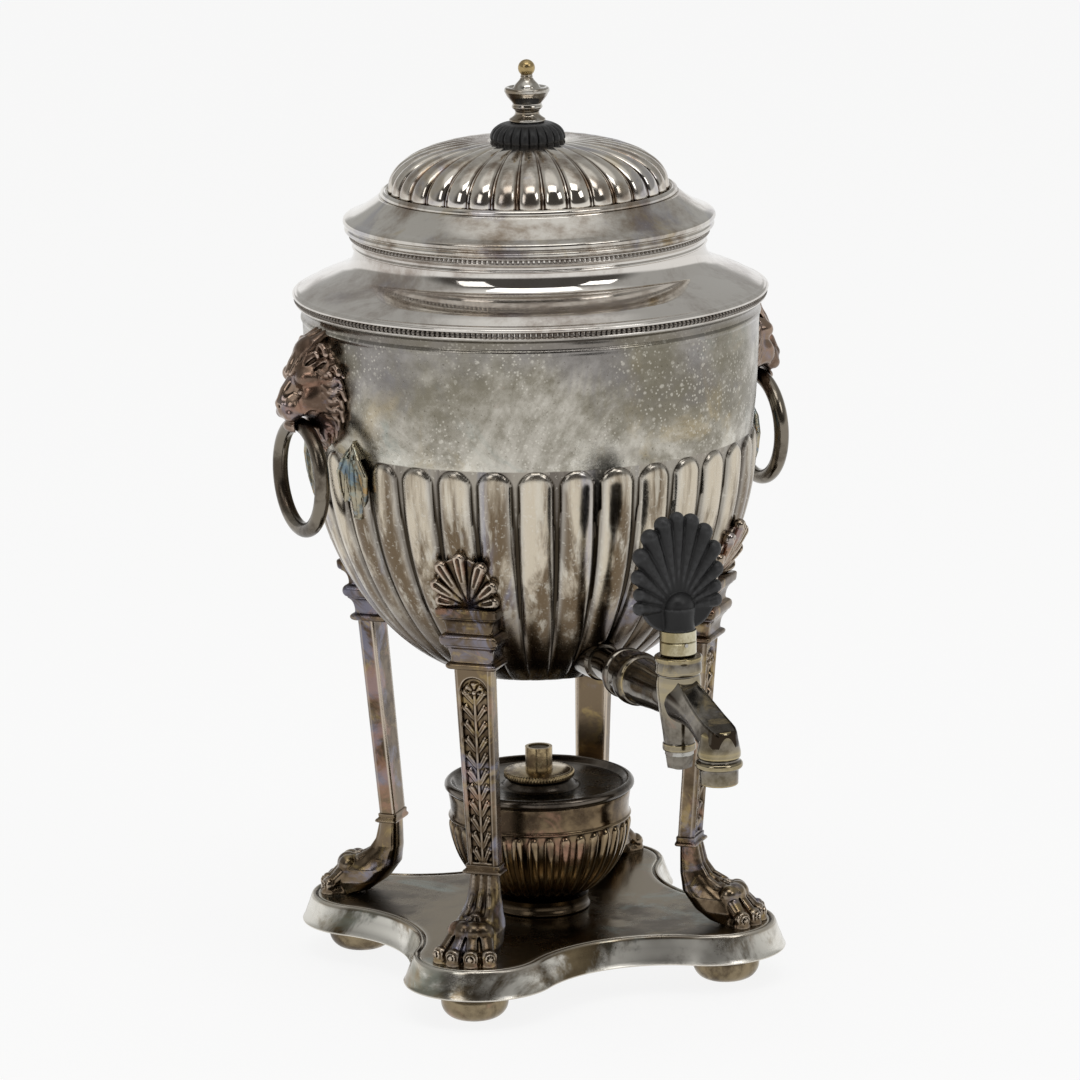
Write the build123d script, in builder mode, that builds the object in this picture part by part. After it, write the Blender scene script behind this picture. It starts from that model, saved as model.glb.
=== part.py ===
from build123d import *
from math import asin, cos, degrees, radians, sin, sqrt
import os

# Footed hot water urn over a spirit lamp. Millimetres, +Z up. The origin is on the urn's own
# axis at table level. The tap points along -Y, the ring handles along X, and the four legs
# stand on the diagonals.

# Clearances
seat_gap = 0.2          # between a soldered mount and the curved wall it lies against
running_gap = 0.05      # radial, plug and burner in their seats
stud_gap = 0.06         # radial, studs and pins in their holes
ring_gap = 0.35         # between a ring handle and its channel through the lion's jaws
lid_gap = 0.3           # radial, the lid's bezel in the neck

# Base plate: an incurved square pressed from sheet, with a flared skirt
plate_lift = 13.9
skirt_height = 12.1
skirt_flare = 3.6
corner_offset = 55.0
corner_radius = 29.4
side_reach = 65.1
plate_edge_round = 2.0
plate_sheet = 1.8

# Bun feet and the studs that clamp foot, plate and paw together
foot_offset = 60.2
foot_radius = 14.5
foot_pad_radius = 6.5
foot_ball_height = 14.6
foot_neck_radius = 7.5
stud_radius = 2.0
stud_in_foot = 11.0
stud_in_paw = 11.0
plate_hole_gap = 0.3

# Bowl: half an ellipsoid below the lobes' tops, cut flat underneath
under_bowl = 111.0
lobe_height = 103.0
bowl_radius = 97.0
bowl_depth = 113.0
lobe_count = 34
lobe_flats = 4          # flats across each lobe, so that a bowl of many lobes stays light
lobe_relief_share = 0.027
lobe_width_share = 0.76
lobe_arch = 7.5
lobe_turn = 7.3
bowl_sheet = 1.3
bowl_steps = 9          # levels of flats up the bowl
bowl_slant_sheet = 1.7  # the wall measured level, where it slants
lobe_ledge = 0.4        # step where the lobes' arches end at the smooth wall
envelope_flats = 16     # steps in the cutter that fits mounts to the bowl

# Upper wall of the bowl, rim and shoulder
wall_height = 57.2
wall_foot_radius = 95.2
wall_mid_radius = 97.2
wall_top_radius = 98.2
rim_cove_height = 6.8
rim_flange_radius = 100.6
rim_band_radius = 102.4
rim_band_height = 5.0
rim_band_width = 4.6
shoulder_radius = 101.3
shoulder_height = 18.0
neck_radius = 75.2
neck_sheet = 1.0
mouth_height = 7.3
mouth_bead_radius = 77.5

# Lid
lid_flange_radius = 80.0
lid_flange_height = 6.4
lid_slope_height = 8.8
lid_sheet = 1.2
lid_collar_radius = 63.8
lid_collar_height = 2.6
lid_collar_width = 2.8
bezel_depth = 10.0
bezel_sheet = 1.0
dome_radius = 60.5
dome_height = 22.8
dome_flat_radius = 20.0
dome_relief = 1.9
knob_radius = 16.3
knob_top_radius = 8.4
knob_height = 7.6
knob_flutes = 24
knob_relief = 0.9
finial_cup_radius = 9.5
finial_foot_radius = 7.1
finial_neck_radius = 2.6
finial_height = 20.57
ball_radius = 3.7
lid_bolt_radius = 1.6
lid_bolt_in_finial = 8.0
lid_nut_across = 7.0
lid_nut_height = 3.0
lid_washer_radius = 6.0
lid_washer_height = 1.0

# Legs
leg_lean = 0.0847
strip_reach = 76.7
strip_thickness = 7.0
strip_top_width = 17.0
strip_foot_width = 13.5
strip_height = 89.5
ankle_height = 35.5
panel_depth = 0.9
panel_border = 3.0
panel_margin = 4.0
collar_width = 17.0
collar_height = 3.4
collar_proud = 1.8
capital_height = 28.0
capital_root = 66.0
paw_heel = 62.7
paw_toe = 103.0
paw_width = 27.0
toe_count = 4
toe_radius = 4.4
toe_length = 22.0
toe_spread = 21.0
toe_dip = 27.0
toe_root_rise = 14.5
toe_fan_centre = 80.7

# Scallop shell above each capital
shell_width = 28.0
shell_length = 26.0
shell_ribs = 7
shell_fan = 172.0
shell_rib_start = 3.0
shell_rib_overlap = 1.08
shell_back = 5.0
shell_web = 0.8

# Lion masks and ring handles
mask_half_width = 18.5
mask_half_height = 23.0
mask_level = 128.5
mask_back = 90.0
mask_brow_reach = 107.0
nose_reach = 119.8
ring_level = 115.5
ring_reach = 109.0
ring_radius = 22.75
ring_wire = 3.25
mane_locks = 13
lock_radius = 3.3
lock_start = 8.0
lock_root_radius = 2.0
lock_proud = 4.5
mane_sweep = 300.0

# Tap
tap_level = 13.0
tap_plug_reach = 138.5
tap_outlet_reach = 175.0
tap_bore_radius = 3.5
shank_radius = 6.4
shank_start = 46.0
shank_neck_radius = 7.0
flange_radius = 8.4
flange_face = 67.0
housing_radius = 9.3
housing_top = 18.7
housing_bottom = 24.0
plug_top_radius = 6.2
plug_bottom_radius = 4.6
plug_stem_radius = 5.0
plug_tail_radius = 2.5
plug_nut_radius = 6.3
plug_nut_height = 5.4
plug_washer_height = 1.6
outlet_radius = 7.5
outlet_ring_radius = 9.9
outlet_drop = 28.0
spout_bend = 18.0
ferrule_radius = 7.65
ferrule_height = 10.4
handle_stem_radius = 7.25
handle_stem_height = 9.6
handle_ribs_each_side = 6
handle_rib_spacing = 9.3
handle_rib_spread = 0.75
handle_rib_overlap = 1.08
handle_rib_start = 5.0
handle_web = 3.2
handle_short_rib = 20.5
handle_long_rib = 41.2
handle_pin_radius = 0.8

# Spirit lamp
lamp_radius = 40.0
lamp_belly_depth = 38.5
lamp_rib_top = 41.0
lamp_rib_bottom = 7.5
lamp_rib_relief = 1.3
lamp_rib_share = 0.6
lamp_foot_radius = 21.5
lamp_band_top = 53.0
lamp_band_radius = 39.9
lamp_rim_radius = 39.7
lamp_rim_wire = 2.1
lamp_rim_lift = 2.6
lamp_sheet = 1.2
lamp_boss_radius = 14.0
lamp_boss_lift = 4.0
burner_radius = 15.5
burner_height = 3.2
burner_plug_radius = 9.0
burner_plug_depth = 8.0
wick_tube_radius = 5.95
wick_tube_wall = 1.35
wick_tube_rise = 10.4
wick_gap = 0.1
wick_below = 36.0
wick_proud = 0.8

# Levels worked out from the sizes above
plate_top = plate_lift + skirt_height
bowl_floor = plate_top + under_bowl
lobe_top = bowl_floor + lobe_height
wall_top = lobe_top + wall_height
shoulder_base = wall_top + rim_band_height
neck_base = shoulder_base + shoulder_height
mouth_top = neck_base + mouth_height
flange_top = mouth_top + lid_flange_height
slope_top = flange_top + lid_slope_height
dome_base = slope_top
dome_top = dome_base + dome_height
knob_top = dome_top + knob_height
finial_top = knob_top + finial_height
collar_level = plate_top + ankle_height
strip_top = collar_level + strip_height
capital_top = strip_top + capital_height
tap_height = bowl_floor + tap_level
housing_roof = tap_height + housing_top
housing_floor = tap_height - housing_bottom
ferrule_top = housing_roof + ferrule_height + 0.3
handle_root = ferrule_top + handle_stem_height
mask_height = bowl_floor + mask_level
ring_hinge = bowl_floor + ring_level
lamp_top_level = plate_top + lamp_band_top

valley_share = 1 - lobe_relief_share
neck_bore = neck_radius - neck_sheet
diagonal = sqrt(2)
mount_angles = {"front_left": 225, "front_right": 315, "back_right": 45, "back_left": 135}


def crest_radius(height):
    """Radius to the crests of the bowl's lobes at a height."""
    drop = (lobe_top - height) / bowl_depth
    return bowl_radius * sqrt(1 - drop ** 2)


def on_circle(radius, angle):
    """A point on a circle about the axis, with the angle in degrees."""
    return (radius * cos(radians(angle)), radius * sin(radians(angle)))


def lobed_ring(count, radius, relief, share, turn=0.0):
    """A closed outline of raised lobes in short flats, each lobe filling its share of the pitch."""
    pitch = 360 / count
    half = pitch * share / 2
    stops = lobe_flats + 1 if share < 1 else lobe_flats
    points = []
    for lobe in range(count):
        for stop in range(stops):
            across = 2 * stop / lobe_flats - 1
            points.append(on_circle(radius - relief * across ** 2, turn + lobe * pitch + half * across))
    with BuildSketch() as ring:
        Polygon(*points, align=None)
    return ring.sketch


def turned(plane, angle):
    """The same plane, turned about its own normal by an angle in degrees."""
    across = plane.x_dir.rotate(Axis((0, 0, 0), plane.z_dir), angle)
    return Plane(plane.origin, x_dir=across, z_dir=plane.z_dir)


def teardrop(start, length, root_radius, tip_radius):
    """Half the outline of a rib that widens from its root to a blunt tip, beside the Y axis."""
    shoulder_at = length - tip_radius
    bend = tip_radius * 0.72
    with BuildSketch() as drop:
        Polygon(
            (0, start), (root_radius, start), (tip_radius, shoulder_at), (bend, shoulder_at + bend),
            (0, length), align=None
        )
    return drop.sketch


def round_rib(plane, start, length, root_radius, tip_radius):
    """A rib along a plane's Y axis, round in section, that widens to a round tip."""
    with BuildPart() as rib:
        with BuildSketch(plane):
            add(teardrop(start, length, root_radius, tip_radius))
        revolve(axis=Axis(plane.origin, plane.y_dir))
    return rib.part


def plate_outline(grow):
    """The incurved square: four round corners and four hollow sides, all tangent, grown outward."""
    inset = side_reach - corner_offset
    hollow = (corner_offset ** 2 + inset ** 2 - corner_radius ** 2) / (2 * (corner_radius - inset))
    side_centre = side_reach + hollow
    corner = corner_radius + grow
    share = corner / (corner_radius + hollow)
    join_x = corner_offset * (1 - share)
    join_y = corner_offset + (side_centre - corner_offset) * share
    tip = corner_offset + corner / diagonal
    with BuildSketch() as outline:
        with BuildLine():
            for quarter in range(4):
                turn = Rotation(0, 0, 90 * quarter)
                spots = [
                    (-join_x, join_y), (0, side_reach + grow), (join_x, join_y), (tip, tip), (join_y, join_x),
                ]
                left, middle, right, point, after = [(turn * Pos(x, y)).position for x, y in spots]
                ThreePointArc(left, middle, right)
                ThreePointArc(right, point, after)
        make_face()
    return outline.sketch


# Shape of the bowl from outside, in flats just clear of the lobes.
# Mounts soldered to the bowl are cut by it.
with BuildPart() as bowl_envelope:
    lowest = asin(lobe_height / bowl_depth)
    profile = []
    for step in range(envelope_flats + 1):
        slope = lowest * (1 - step / envelope_flats)
        level = lobe_top - (bowl_depth + seat_gap) * sin(slope)
        profile.append(((bowl_radius + seat_gap) * cos(slope), level))
    with BuildSketch(Plane((0, 0, 0), x_dir=(-1, 0, 0), z_dir=(0, 1, 0))):
        Polygon(
            (0, bowl_floor - seat_gap), *profile,
            (wall_mid_radius + seat_gap, lobe_top + wall_height / 3),
            (wall_top_radius + seat_gap, wall_top), (0, wall_top), align=None
        )
    revolve(axis=Axis.Z)


# Base plate
with BuildPart() as base_plate:
    for level, grow in ((plate_lift, skirt_flare), (plate_top, 0)):
        with BuildSketch(Plane.XY.offset(level)):
            add(plate_outline(grow))
    loft(ruled=True)
    fillet(base_plate.edges().group_by(Axis.Z)[-1], radius=plate_edge_round)
    for level, grow in ((plate_lift, skirt_flare), (plate_top - plate_sheet, 0.5)):
        with BuildSketch(Plane.XY.offset(level)):
            add(plate_outline(grow - plate_sheet))
    loft(ruled=True, mode=Mode.SUBTRACT)
    with BuildSketch(Plane.XY.offset(plate_top)):
        with GridLocations(2 * foot_offset, 2 * foot_offset, 2, 2):
            Circle(stud_radius + plate_hole_gap)
    extrude(amount=-2 * plate_sheet, mode=Mode.SUBTRACT)
base_plate.part.label = "base_plate"


# Bun feet, each turned, with a neck up to the underside of the plate
foot_top = plate_top - plate_sheet
feet = {}
for place, angle in mount_angles.items():
    centre_x, centre_y = on_circle(foot_offset * diagonal, angle)
    with BuildPart() as foot:
        with BuildSketch(Plane((centre_x, centre_y, 0), x_dir=(1, 0, 0), z_dir=(0, -1, 0))):
            with BuildLine():
                Line((0, 0), (foot_pad_radius, 0))
                widest = (foot_radius, foot_ball_height / 2)
                ThreePointArc((foot_pad_radius, 0), widest, (foot_neck_radius, foot_ball_height))
                Polyline(
                    (foot_neck_radius, foot_ball_height), (foot_neck_radius, foot_top), (0, foot_top), (0, 0)
                )
            make_face()
        revolve(axis=Axis((centre_x, centre_y, 0), (0, 0, 1)))
        with BuildSketch(Plane.XY.offset(foot_top)):
            with Locations((centre_x, centre_y)):
                Circle(stud_radius + stud_gap)
        extrude(amount=-stud_in_foot, mode=Mode.SUBTRACT)
    foot.part.label = "foot_" + place
    feet[place] = foot.part

with BuildPart() as leg_studs:
    with BuildSketch(Plane.XY.offset(foot_top - stud_in_foot + seat_gap)):
        with GridLocations(2 * foot_offset, 2 * foot_offset, 2, 2):
            Circle(stud_radius)
    extrude(amount=stud_in_foot + plate_sheet + stud_in_paw - 2 * seat_gap)
leg_studs.part.label = "leg_studs"


# A leg, pointing along +X: lion's paw, ankle, collar, tapering strip with a sunk panel, moulded capital
def strip_centre(height):
    """Distance of the leaning strip's centre from the urn's axis."""
    return strip_reach - leg_lean * (strip_top - height)


def strip_width(height):
    """Width of the strip, which tapers downward."""
    rise = (height - collar_level) / strip_height
    return strip_foot_width + (strip_top_width - strip_foot_width) * rise


# Sections of the paw: rise above the plate, distance from the ankle's back to the section's back,
# distance from the toes' tips to its front, share of the paw's width, and corner radius as a share.
# The heel is cut away, so that the paw stands on its toes and the ball of the foot.
paw_sections = [
    (0.0, 19.3, 8.0, 0.94, 0.30),
    (1.2, 16.3, 7.6, 0.97, 0.30),
    (6.5, 9.3, 8.0, 1.00, 0.32),
    (13.7, 3.3, 13.0, 0.86, 0.30),
    (18.0, 1.9, 19.0, 0.70, 0.28),
    (22.0, 1.4, 25.0, 0.57, 0.26),
    (28.0, 1.4, 28.3, 0.50, 0.22),
    (ankle_height, 2.0, 29.3, 0.46, 0.20),
]
# Rise above the strip, and how far the moulding stands out from it
capital_moulding = [
    (0.0, 0.4), (1.0, 2.0), (3.6, 2.0), (4.6, 1.0), (8.0, 1.1), (12.0, 2.4), (13.0, 3.9), (15.6, 4.0),
    (16.6, 2.9), (20.0, 2.8), (24.0, 3.9), (25.0, 5.0), (28.0, 5.1),
]
with BuildPart() as leg:
    for rise, behind, ahead, width, corner in paw_sections:
        back = paw_heel + behind
        front = paw_toe - ahead
        narrow = min(front - back, paw_width * width)
        with BuildSketch(Plane.XY.offset(plate_top + rise)):
            with Locations(((back + front) / 2, 0)):
                RectangleRounded(front - back, paw_width * width, narrow * corner)
    loft(ruled=True)
    for toe in range(toe_count):
        swing = toe_spread * (toe - (toe_count - 1) / 2)
        forward = Vector(cos(radians(swing)), sin(radians(swing)), 0)
        along = forward * cos(radians(toe_dip)) - Vector(0, 0, sin(radians(toe_dip)))
        side = Vector(-sin(radians(swing)), cos(radians(swing)), 0)
        reach = toe_length * cos(radians(toe_dip))
        fan_centre = Vector(toe_fan_centre, 0, plate_top + toe_root_rise)
        root = fan_centre + forward * (paw_toe - toe_fan_centre - reach)
        toe_plane = Plane(root, x_dir=along.cross(side), z_dir=side)
        with BuildSketch(toe_plane):
            Polygon(
                (0, 0), (toe_radius * 0.8, 0), (toe_radius, toe_length * 0.3),
                (toe_radius * 0.92, toe_length * 0.75), (toe_radius * 0.5, toe_length * 0.95), (0, toe_length),
                align=None
            )
        revolve(axis=Axis(root, toe_plane.y_dir))
    split(bisect_by=Plane.XY.offset(plate_top), keep=Keep.TOP)
    for level in (collar_level, strip_top):
        with BuildSketch(Plane.XY.offset(level)):
            with Locations((strip_centre(level), 0)):
                Rectangle(strip_thickness, strip_width(level))
    loft(ruled=True)
    for rise, proud in ((0, 0), (collar_height * 0.25, 1), (collar_height * 0.75, 1), (collar_height, 0)):
        depth = strip_thickness + collar_proud * proud
        with BuildSketch(Plane.XY.offset(collar_level - collar_height / 2 + rise)):
            with Locations((strip_centre(collar_level) + (depth - strip_thickness) / 2, 0)):
                Rectangle(depth, collar_width - 2 * collar_proud * (1 - proud))
    loft(ruled=True)
    for level in (collar_level + collar_height / 2 + panel_margin, strip_top - panel_margin):
        with BuildSketch(Plane.XY.offset(level)):
            with Locations((strip_centre(level) + strip_thickness / 2, 0)):
                Rectangle(2 * panel_depth, strip_width(level) - 2 * panel_border)
    loft(ruled=True, mode=Mode.SUBTRACT)
    for rise, proud in capital_moulding:
        level = strip_top + rise * capital_height / capital_moulding[-1][0]
        face = strip_centre(level) + strip_thickness / 2 + proud
        with BuildSketch(Plane.XY.offset(level)):
            with Locations(((capital_root + face) / 2, 0)):
                Rectangle(face - capital_root, strip_top_width + 2 * proud)
    loft(ruled=True)
    add(bowl_envelope.part, mode=Mode.SUBTRACT)
    with BuildSketch(Plane.XY.offset(plate_top)):
        with Locations((foot_offset * diagonal, 0)):
            Circle(stud_radius + stud_gap)
    extrude(amount=stud_in_paw, mode=Mode.SUBTRACT)
legs = {}
for place, angle in mount_angles.items():
    legs[place] = leg.part.rotate(Axis.Z, angle)
    legs[place].label = "leg_" + place


# A scallop shell that leans back on the lobes above a capital, pointing along +X
shell_rise = shell_length * 0.9
shell_foot = crest_radius(capital_top)
shell_slope = (crest_radius(capital_top + shell_rise) - shell_foot) / shell_rise
shell_swell = crest_radius(capital_top + shell_rise / 2) - shell_foot - shell_slope * shell_rise / 2
shell_out = Vector(1, 0, -shell_slope).normalized()
shell_origin = (shell_foot + shell_swell + seat_gap, 0, capital_top)
shell_plane = Plane(shell_origin, x_dir=(0, 1, 0), z_dir=shell_out)
shell_flutes = []
for rib in range(shell_ribs):
    swing = shell_fan / shell_ribs * (rib - (shell_ribs - 1) / 2)
    rib_length = shell_length * (0.52 + 0.48 * cos(radians(swing)) ** 2)
    half_angle = radians(shell_fan / shell_ribs / 2)
    tip_radius = shell_rib_overlap * rib_length * sin(half_angle) / (1 + sin(half_angle))
    root_radius = shell_rib_start * sin(half_angle)
    rib_plane = turned(shell_plane, -swing)
    shell_flutes.append(round_rib(rib_plane, shell_rib_start, rib_length, root_radius, tip_radius))
with BuildPart() as leg_shell:
    with BuildSketch(shell_plane.offset(-shell_back)):
        with Locations((0, shell_length * 0.45)):
            Ellipse(shell_width * 0.4, shell_length * 0.45)
        with Locations((0, shell_length * 0.1)):
            Rectangle(shell_width * 0.8, shell_length * 0.52)
    extrude(amount=shell_back + shell_web)
    add(shell_flutes)
    split(bisect_by=Plane.XY.offset(capital_top), keep=Keep.TOP)
    add(bowl_envelope.part, mode=Mode.SUBTRACT)
leg_shells = {}
for place, angle in mount_angles.items():
    leg_shells[place] = leg_shell.part.rotate(Axis.Z, angle)
    leg_shells[place].label = "leg_shell_" + place


# Bowl: one wall whose lobes run up from the floor, swell and end in round arches
with BuildPart() as body_bowl:
    arch_base = lobe_top - lobe_arch
    highest = asin(lobe_arch / bowl_depth)
    for step in range(bowl_steps + 1):
        slope = lowest + (highest - lowest) * step / bowl_steps
        radius = bowl_radius * cos(slope)
        with BuildSketch(Plane.XY.offset(lobe_top - bowl_depth * sin(slope))):
            add(lobed_ring(lobe_count, radius, radius * lobe_relief_share, lobe_width_share, lobe_turn - 90))
    loft(ruled=True)
    for rise in (0.0, 0.45, 0.75, 0.93, 1.0):
        shrink = sqrt(1 - rise ** 2)
        level = arch_base + lobe_arch * rise
        relief = crest_radius(level) * lobe_relief_share * shrink
        valley = crest_radius(level) * valley_share
        valley = valley + (wall_foot_radius + lobe_ledge - valley) * rise ** 2
        with BuildSketch(Plane.XY.offset(level)):
            share = lobe_width_share * max(shrink, 0.25)
            add(lobed_ring(lobe_count, valley + relief, relief, share, lobe_turn - 90))
    loft(ruled=True)
    with BuildSketch(Plane.XZ):
        with BuildLine():
            cove_base = wall_top - rim_cove_height
            wall_root = (wall_foot_radius, lobe_top - bowl_sheet)
            wall_line = ThreePointArc(
                (wall_foot_radius, lobe_top), (wall_mid_radius, lobe_top + wall_height * 0.42),
                (wall_top_radius, cove_base)
            )
            cove_start = (wall_top_radius, cove_base + 1.6)
            Polyline(wall_line @ 1, (wall_top_radius + 0.7, cove_base + 0.8), cove_start)
            RadiusArc(cove_start, (rim_flange_radius, wall_top), rim_cove_height)
            Polyline(
                (rim_flange_radius, wall_top), (0, wall_top), (0, lobe_top - bowl_sheet), wall_root,
                wall_line @ 0
            )
        make_face()
    revolve(axis=Axis.Z)
    hollow = []
    for step in range(bowl_steps + 1):
        turn = asin((lobe_height - bowl_sheet) / bowl_depth) * (1 - step / bowl_steps)
        inside_radius = bowl_radius * cos(turn) * valley_share - bowl_slant_sheet
        hollow.append((inside_radius, lobe_top - bowl_depth * sin(turn)))
    with BuildSketch(Plane.XZ):
        Polygon(
            (0, bowl_floor + bowl_sheet), *hollow, (wall_top_radius - 2 * bowl_sheet, wall_top),
            (0, wall_top), align=None
        )
    revolve(axis=Axis.Z, mode=Mode.SUBTRACT)
    with BuildSketch(Plane.XZ):
        with Locations((0, tap_height)):
            Circle(shank_radius + stud_gap)
    extrude(amount=bowl_radius, mode=Mode.SUBTRACT)
body_bowl.part.label = "body_bowl"


# Rim band, shoulder with its neck, and the moulded mouth
with BuildPart() as rim_band:
    with BuildSketch(Plane.XZ):
        with BuildLine():
            half = rim_band_height / 2
            Polyline(
                (rim_band_radius - half * 0.6, wall_top), (rim_band_radius - rim_band_width, wall_top),
                (rim_band_radius - rim_band_width, shoulder_base),
                (rim_band_radius - half * 0.6, shoulder_base)
            )
            ThreePointArc(
                (rim_band_radius - half * 0.6, shoulder_base), (rim_band_radius, wall_top + half),
                (rim_band_radius - half * 0.6, wall_top)
            )
        make_face()
    revolve(axis=Axis.Z)
rim_band.part.label = "rim_band"

with BuildPart() as shoulder:
    slope_line = [(1.0, 0.0), (0.736, 0.20), (0.406, 0.40), (0.146, 0.54), (0.040, 0.72), (0.0, 1.0)]
    outside = [
        (neck_radius + (shoulder_radius - neck_radius) * out, shoulder_base + shoulder_height * up)
        for out, up in slope_line
    ]
    inside = [(out - neck_sheet, up - neck_sheet) for out, up in outside]
    inside[0] = (outside[0][0] - 3 * neck_sheet, shoulder_base)
    inside[-1] = (outside[-1][0] - neck_sheet, neck_base)
    with BuildSketch(Plane.XZ):
        with BuildLine():
            Spline(*outside)
            Polyline(outside[-1], (neck_radius, mouth_top), (neck_bore, mouth_top), inside[-1])
            Spline(*inside[::-1])
            Line(inside[0], outside[0])
        make_face()
    revolve(axis=Axis.Z)
shoulder.part.label = "shoulder"

with BuildPart() as mouth_band:
    with BuildSketch(Plane.XZ):
        with BuildLine():
            seat = neck_radius + running_gap
            bead = 0.9
            bead_level = mouth_top - bead
            Polyline(
                (mouth_bead_radius - bead, mouth_top), (seat, mouth_top), (seat, neck_base + 0.4),
                (seat + 0.9, neck_base + 0.4), (seat + 1.1, neck_base + 2.4), (seat + 0.5, neck_base + 3.2),
                (mouth_bead_radius - bead, bead_level - bead)
            )
            ThreePointArc(
                (mouth_bead_radius - bead, bead_level - bead), (mouth_bead_radius, bead_level),
                (mouth_bead_radius - bead, mouth_top)
            )
        make_face()
    revolve(axis=Axis.Z)
mouth_band.part.label = "mouth_band"


# Lid: flanged cover, bezel that drops into the neck, lobed dome, collar, knob and finial
with BuildPart() as lid_cover:
    roll = lid_flange_height / 4
    ledge = dome_radius - 1.5
    collar_seat = lid_collar_radius + 0.6
    with BuildSketch(Plane.XZ):
        with BuildLine():
            low_edge = lid_flange_radius - 0.6 - roll / 2
            high_edge = lid_flange_radius - roll / 2
            Line((neck_bore - lid_gap - bezel_sheet, mouth_top), (low_edge, mouth_top))
            ThreePointArc(
                (low_edge, mouth_top), (low_edge + roll / 2, mouth_top + roll),
                (low_edge, mouth_top + 2 * roll)
            )
            Line((low_edge, mouth_top + 2 * roll), (high_edge, mouth_top + 2 * roll))
            ThreePointArc(
                (high_edge, mouth_top + 2 * roll), (high_edge + roll / 2, mouth_top + 3 * roll),
                (high_edge, flange_top)
            )
            middle = ((high_edge + collar_seat) / 2, (flange_top + slope_top) / 2 - 0.9)
            slope = ThreePointArc((high_edge, flange_top), middle, (collar_seat, slope_top))
            Polyline(
                slope @ 1, (ledge, slope_top), (ledge, slope_top - lid_sheet),
                (collar_seat, slope_top - lid_sheet), (high_edge - 2 * roll, flange_top - lid_sheet),
                (neck_bore - lid_gap - bezel_sheet, mouth_top + lid_sheet),
                (neck_bore - lid_gap - bezel_sheet, mouth_top)
            )
        make_face()
    revolve(axis=Axis.Z)
lid_cover.part.label = "lid_cover"

with BuildPart() as lid_bezel:
    with BuildSketch(Plane.XY.offset(mouth_top - bezel_depth)):
        Circle(neck_bore - lid_gap)
        Circle(neck_bore - lid_gap - bezel_sheet, mode=Mode.SUBTRACT)
    extrude(amount=bezel_depth)
lid_bezel.part.label = "lid_bezel"

with BuildPart() as lid_collar:
    with BuildSketch(Plane.XZ):
        with BuildLine():
            half = lid_collar_height / 2
            shelf = lid_collar_radius - half
            Polyline(
                (shelf, slope_top), (lid_collar_radius - lid_collar_width, slope_top),
                (lid_collar_radius - lid_collar_width, slope_top + half),
                (shelf, slope_top + lid_collar_height)
            )
            ThreePointArc(
                (shelf, slope_top + lid_collar_height), (lid_collar_radius, slope_top + half),
                (shelf, slope_top)
            )
        make_face()
    revolve(axis=Axis.Z)
lid_collar.part.label = "lid_collar"


def dome_crest(rise):
    """Radius to the crests of the dome's lobes, at a share of its height."""
    return dome_flat_radius + (dome_radius - dome_flat_radius) * (1 - rise ** 2.6) ** 0.62


with BuildPart() as lid_dome:
    for rise in (0.0, 0.16, 0.34, 0.5, 0.64, 0.76, 0.86, 0.93, 0.98):
        relief = dome_relief * (1 - 0.35 * rise)
        with BuildSketch(Plane.XY.offset(dome_base + dome_height * rise)):
            add(lobed_ring(lobe_count, dome_crest(rise), relief, 1, lobe_turn - 95.3))
    loft(ruled=True)
    with BuildSketch(Plane.XY.offset(dome_base + dome_height * 0.98)):
        Circle(dome_crest(0.98) - dome_relief)
    extrude(amount=dome_height * 0.02)
    with BuildSketch(Plane.XZ):
        with BuildLine():
            skin = dome_relief + lid_sheet
            roof = dome_top - 2.2 * lid_sheet
            under = EllipticalCenterArc((0, dome_base), dome_radius - skin, roof - dome_base, 0, arc_size=90)
            Polyline(under @ 1, (0, dome_base), under @ 0)
        make_face()
    revolve(axis=Axis.Z, mode=Mode.SUBTRACT)
    with BuildSketch(Plane.XY.offset(dome_top)):
        Circle(lid_bolt_radius + stud_gap)
    extrude(amount=-dome_height, mode=Mode.SUBTRACT)
lid_dome.part.label = "lid_dome"

with BuildPart() as lid_knob:
    for rise in (0.0, 0.3, 0.55, 0.78, 0.92, 1.0):
        radius = knob_top_radius + (knob_radius - knob_top_radius) * sqrt(1 - rise ** 2)
        with BuildSketch(Plane.XY.offset(dome_top + knob_height * rise)):
            add(lobed_ring(knob_flutes, radius, knob_relief * radius / knob_radius, 1))
    loft(ruled=True)
    with BuildSketch(Plane.XY.offset(dome_top)):
        Circle(lid_bolt_radius + stud_gap)
    extrude(amount=knob_height, mode=Mode.SUBTRACT)
lid_knob.part.label = "lid_knob"

with BuildPart() as finial:
    cup_level = knob_top + finial_height * 0.72
    waist_level = knob_top + finial_height * 0.28
    waist_radius = finial_foot_radius * 0.7
    with BuildSketch(Plane.XZ):
        with BuildLine():
            Polyline((0, knob_top), (finial_foot_radius, knob_top), (finial_foot_radius, knob_top + 1.2))
            ThreePointArc(
                (finial_foot_radius, knob_top + 1.2), (waist_radius, waist_level),
                (finial_foot_radius, knob_top + finial_height * 0.46)
            )
            Line((finial_foot_radius, knob_top + finial_height * 0.46), (finial_cup_radius, cup_level - 1.6))
            ThreePointArc(
                (finial_cup_radius, cup_level - 1.6), (finial_cup_radius + 0.3, cup_level - 0.4),
                (finial_cup_radius - 0.5, cup_level + 0.8)
            )
            Line((finial_cup_radius - 0.5, cup_level + 0.8), (finial_cup_radius * 0.66, cup_level + 1.4))
            ThreePointArc(
                (finial_cup_radius * 0.66, cup_level + 1.4), (finial_neck_radius * 1.5, cup_level + 3.2),
                (finial_neck_radius, finial_top)
            )
            Polyline((finial_neck_radius, finial_top), (0, finial_top), (0, knob_top))
        make_face()
    revolve(axis=Axis.Z)
    with BuildSketch(Plane.XY.offset(knob_top)):
        Circle(lid_bolt_radius + stud_gap)
    extrude(amount=lid_bolt_in_finial, mode=Mode.SUBTRACT)
finial.part.label = "finial"

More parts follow.
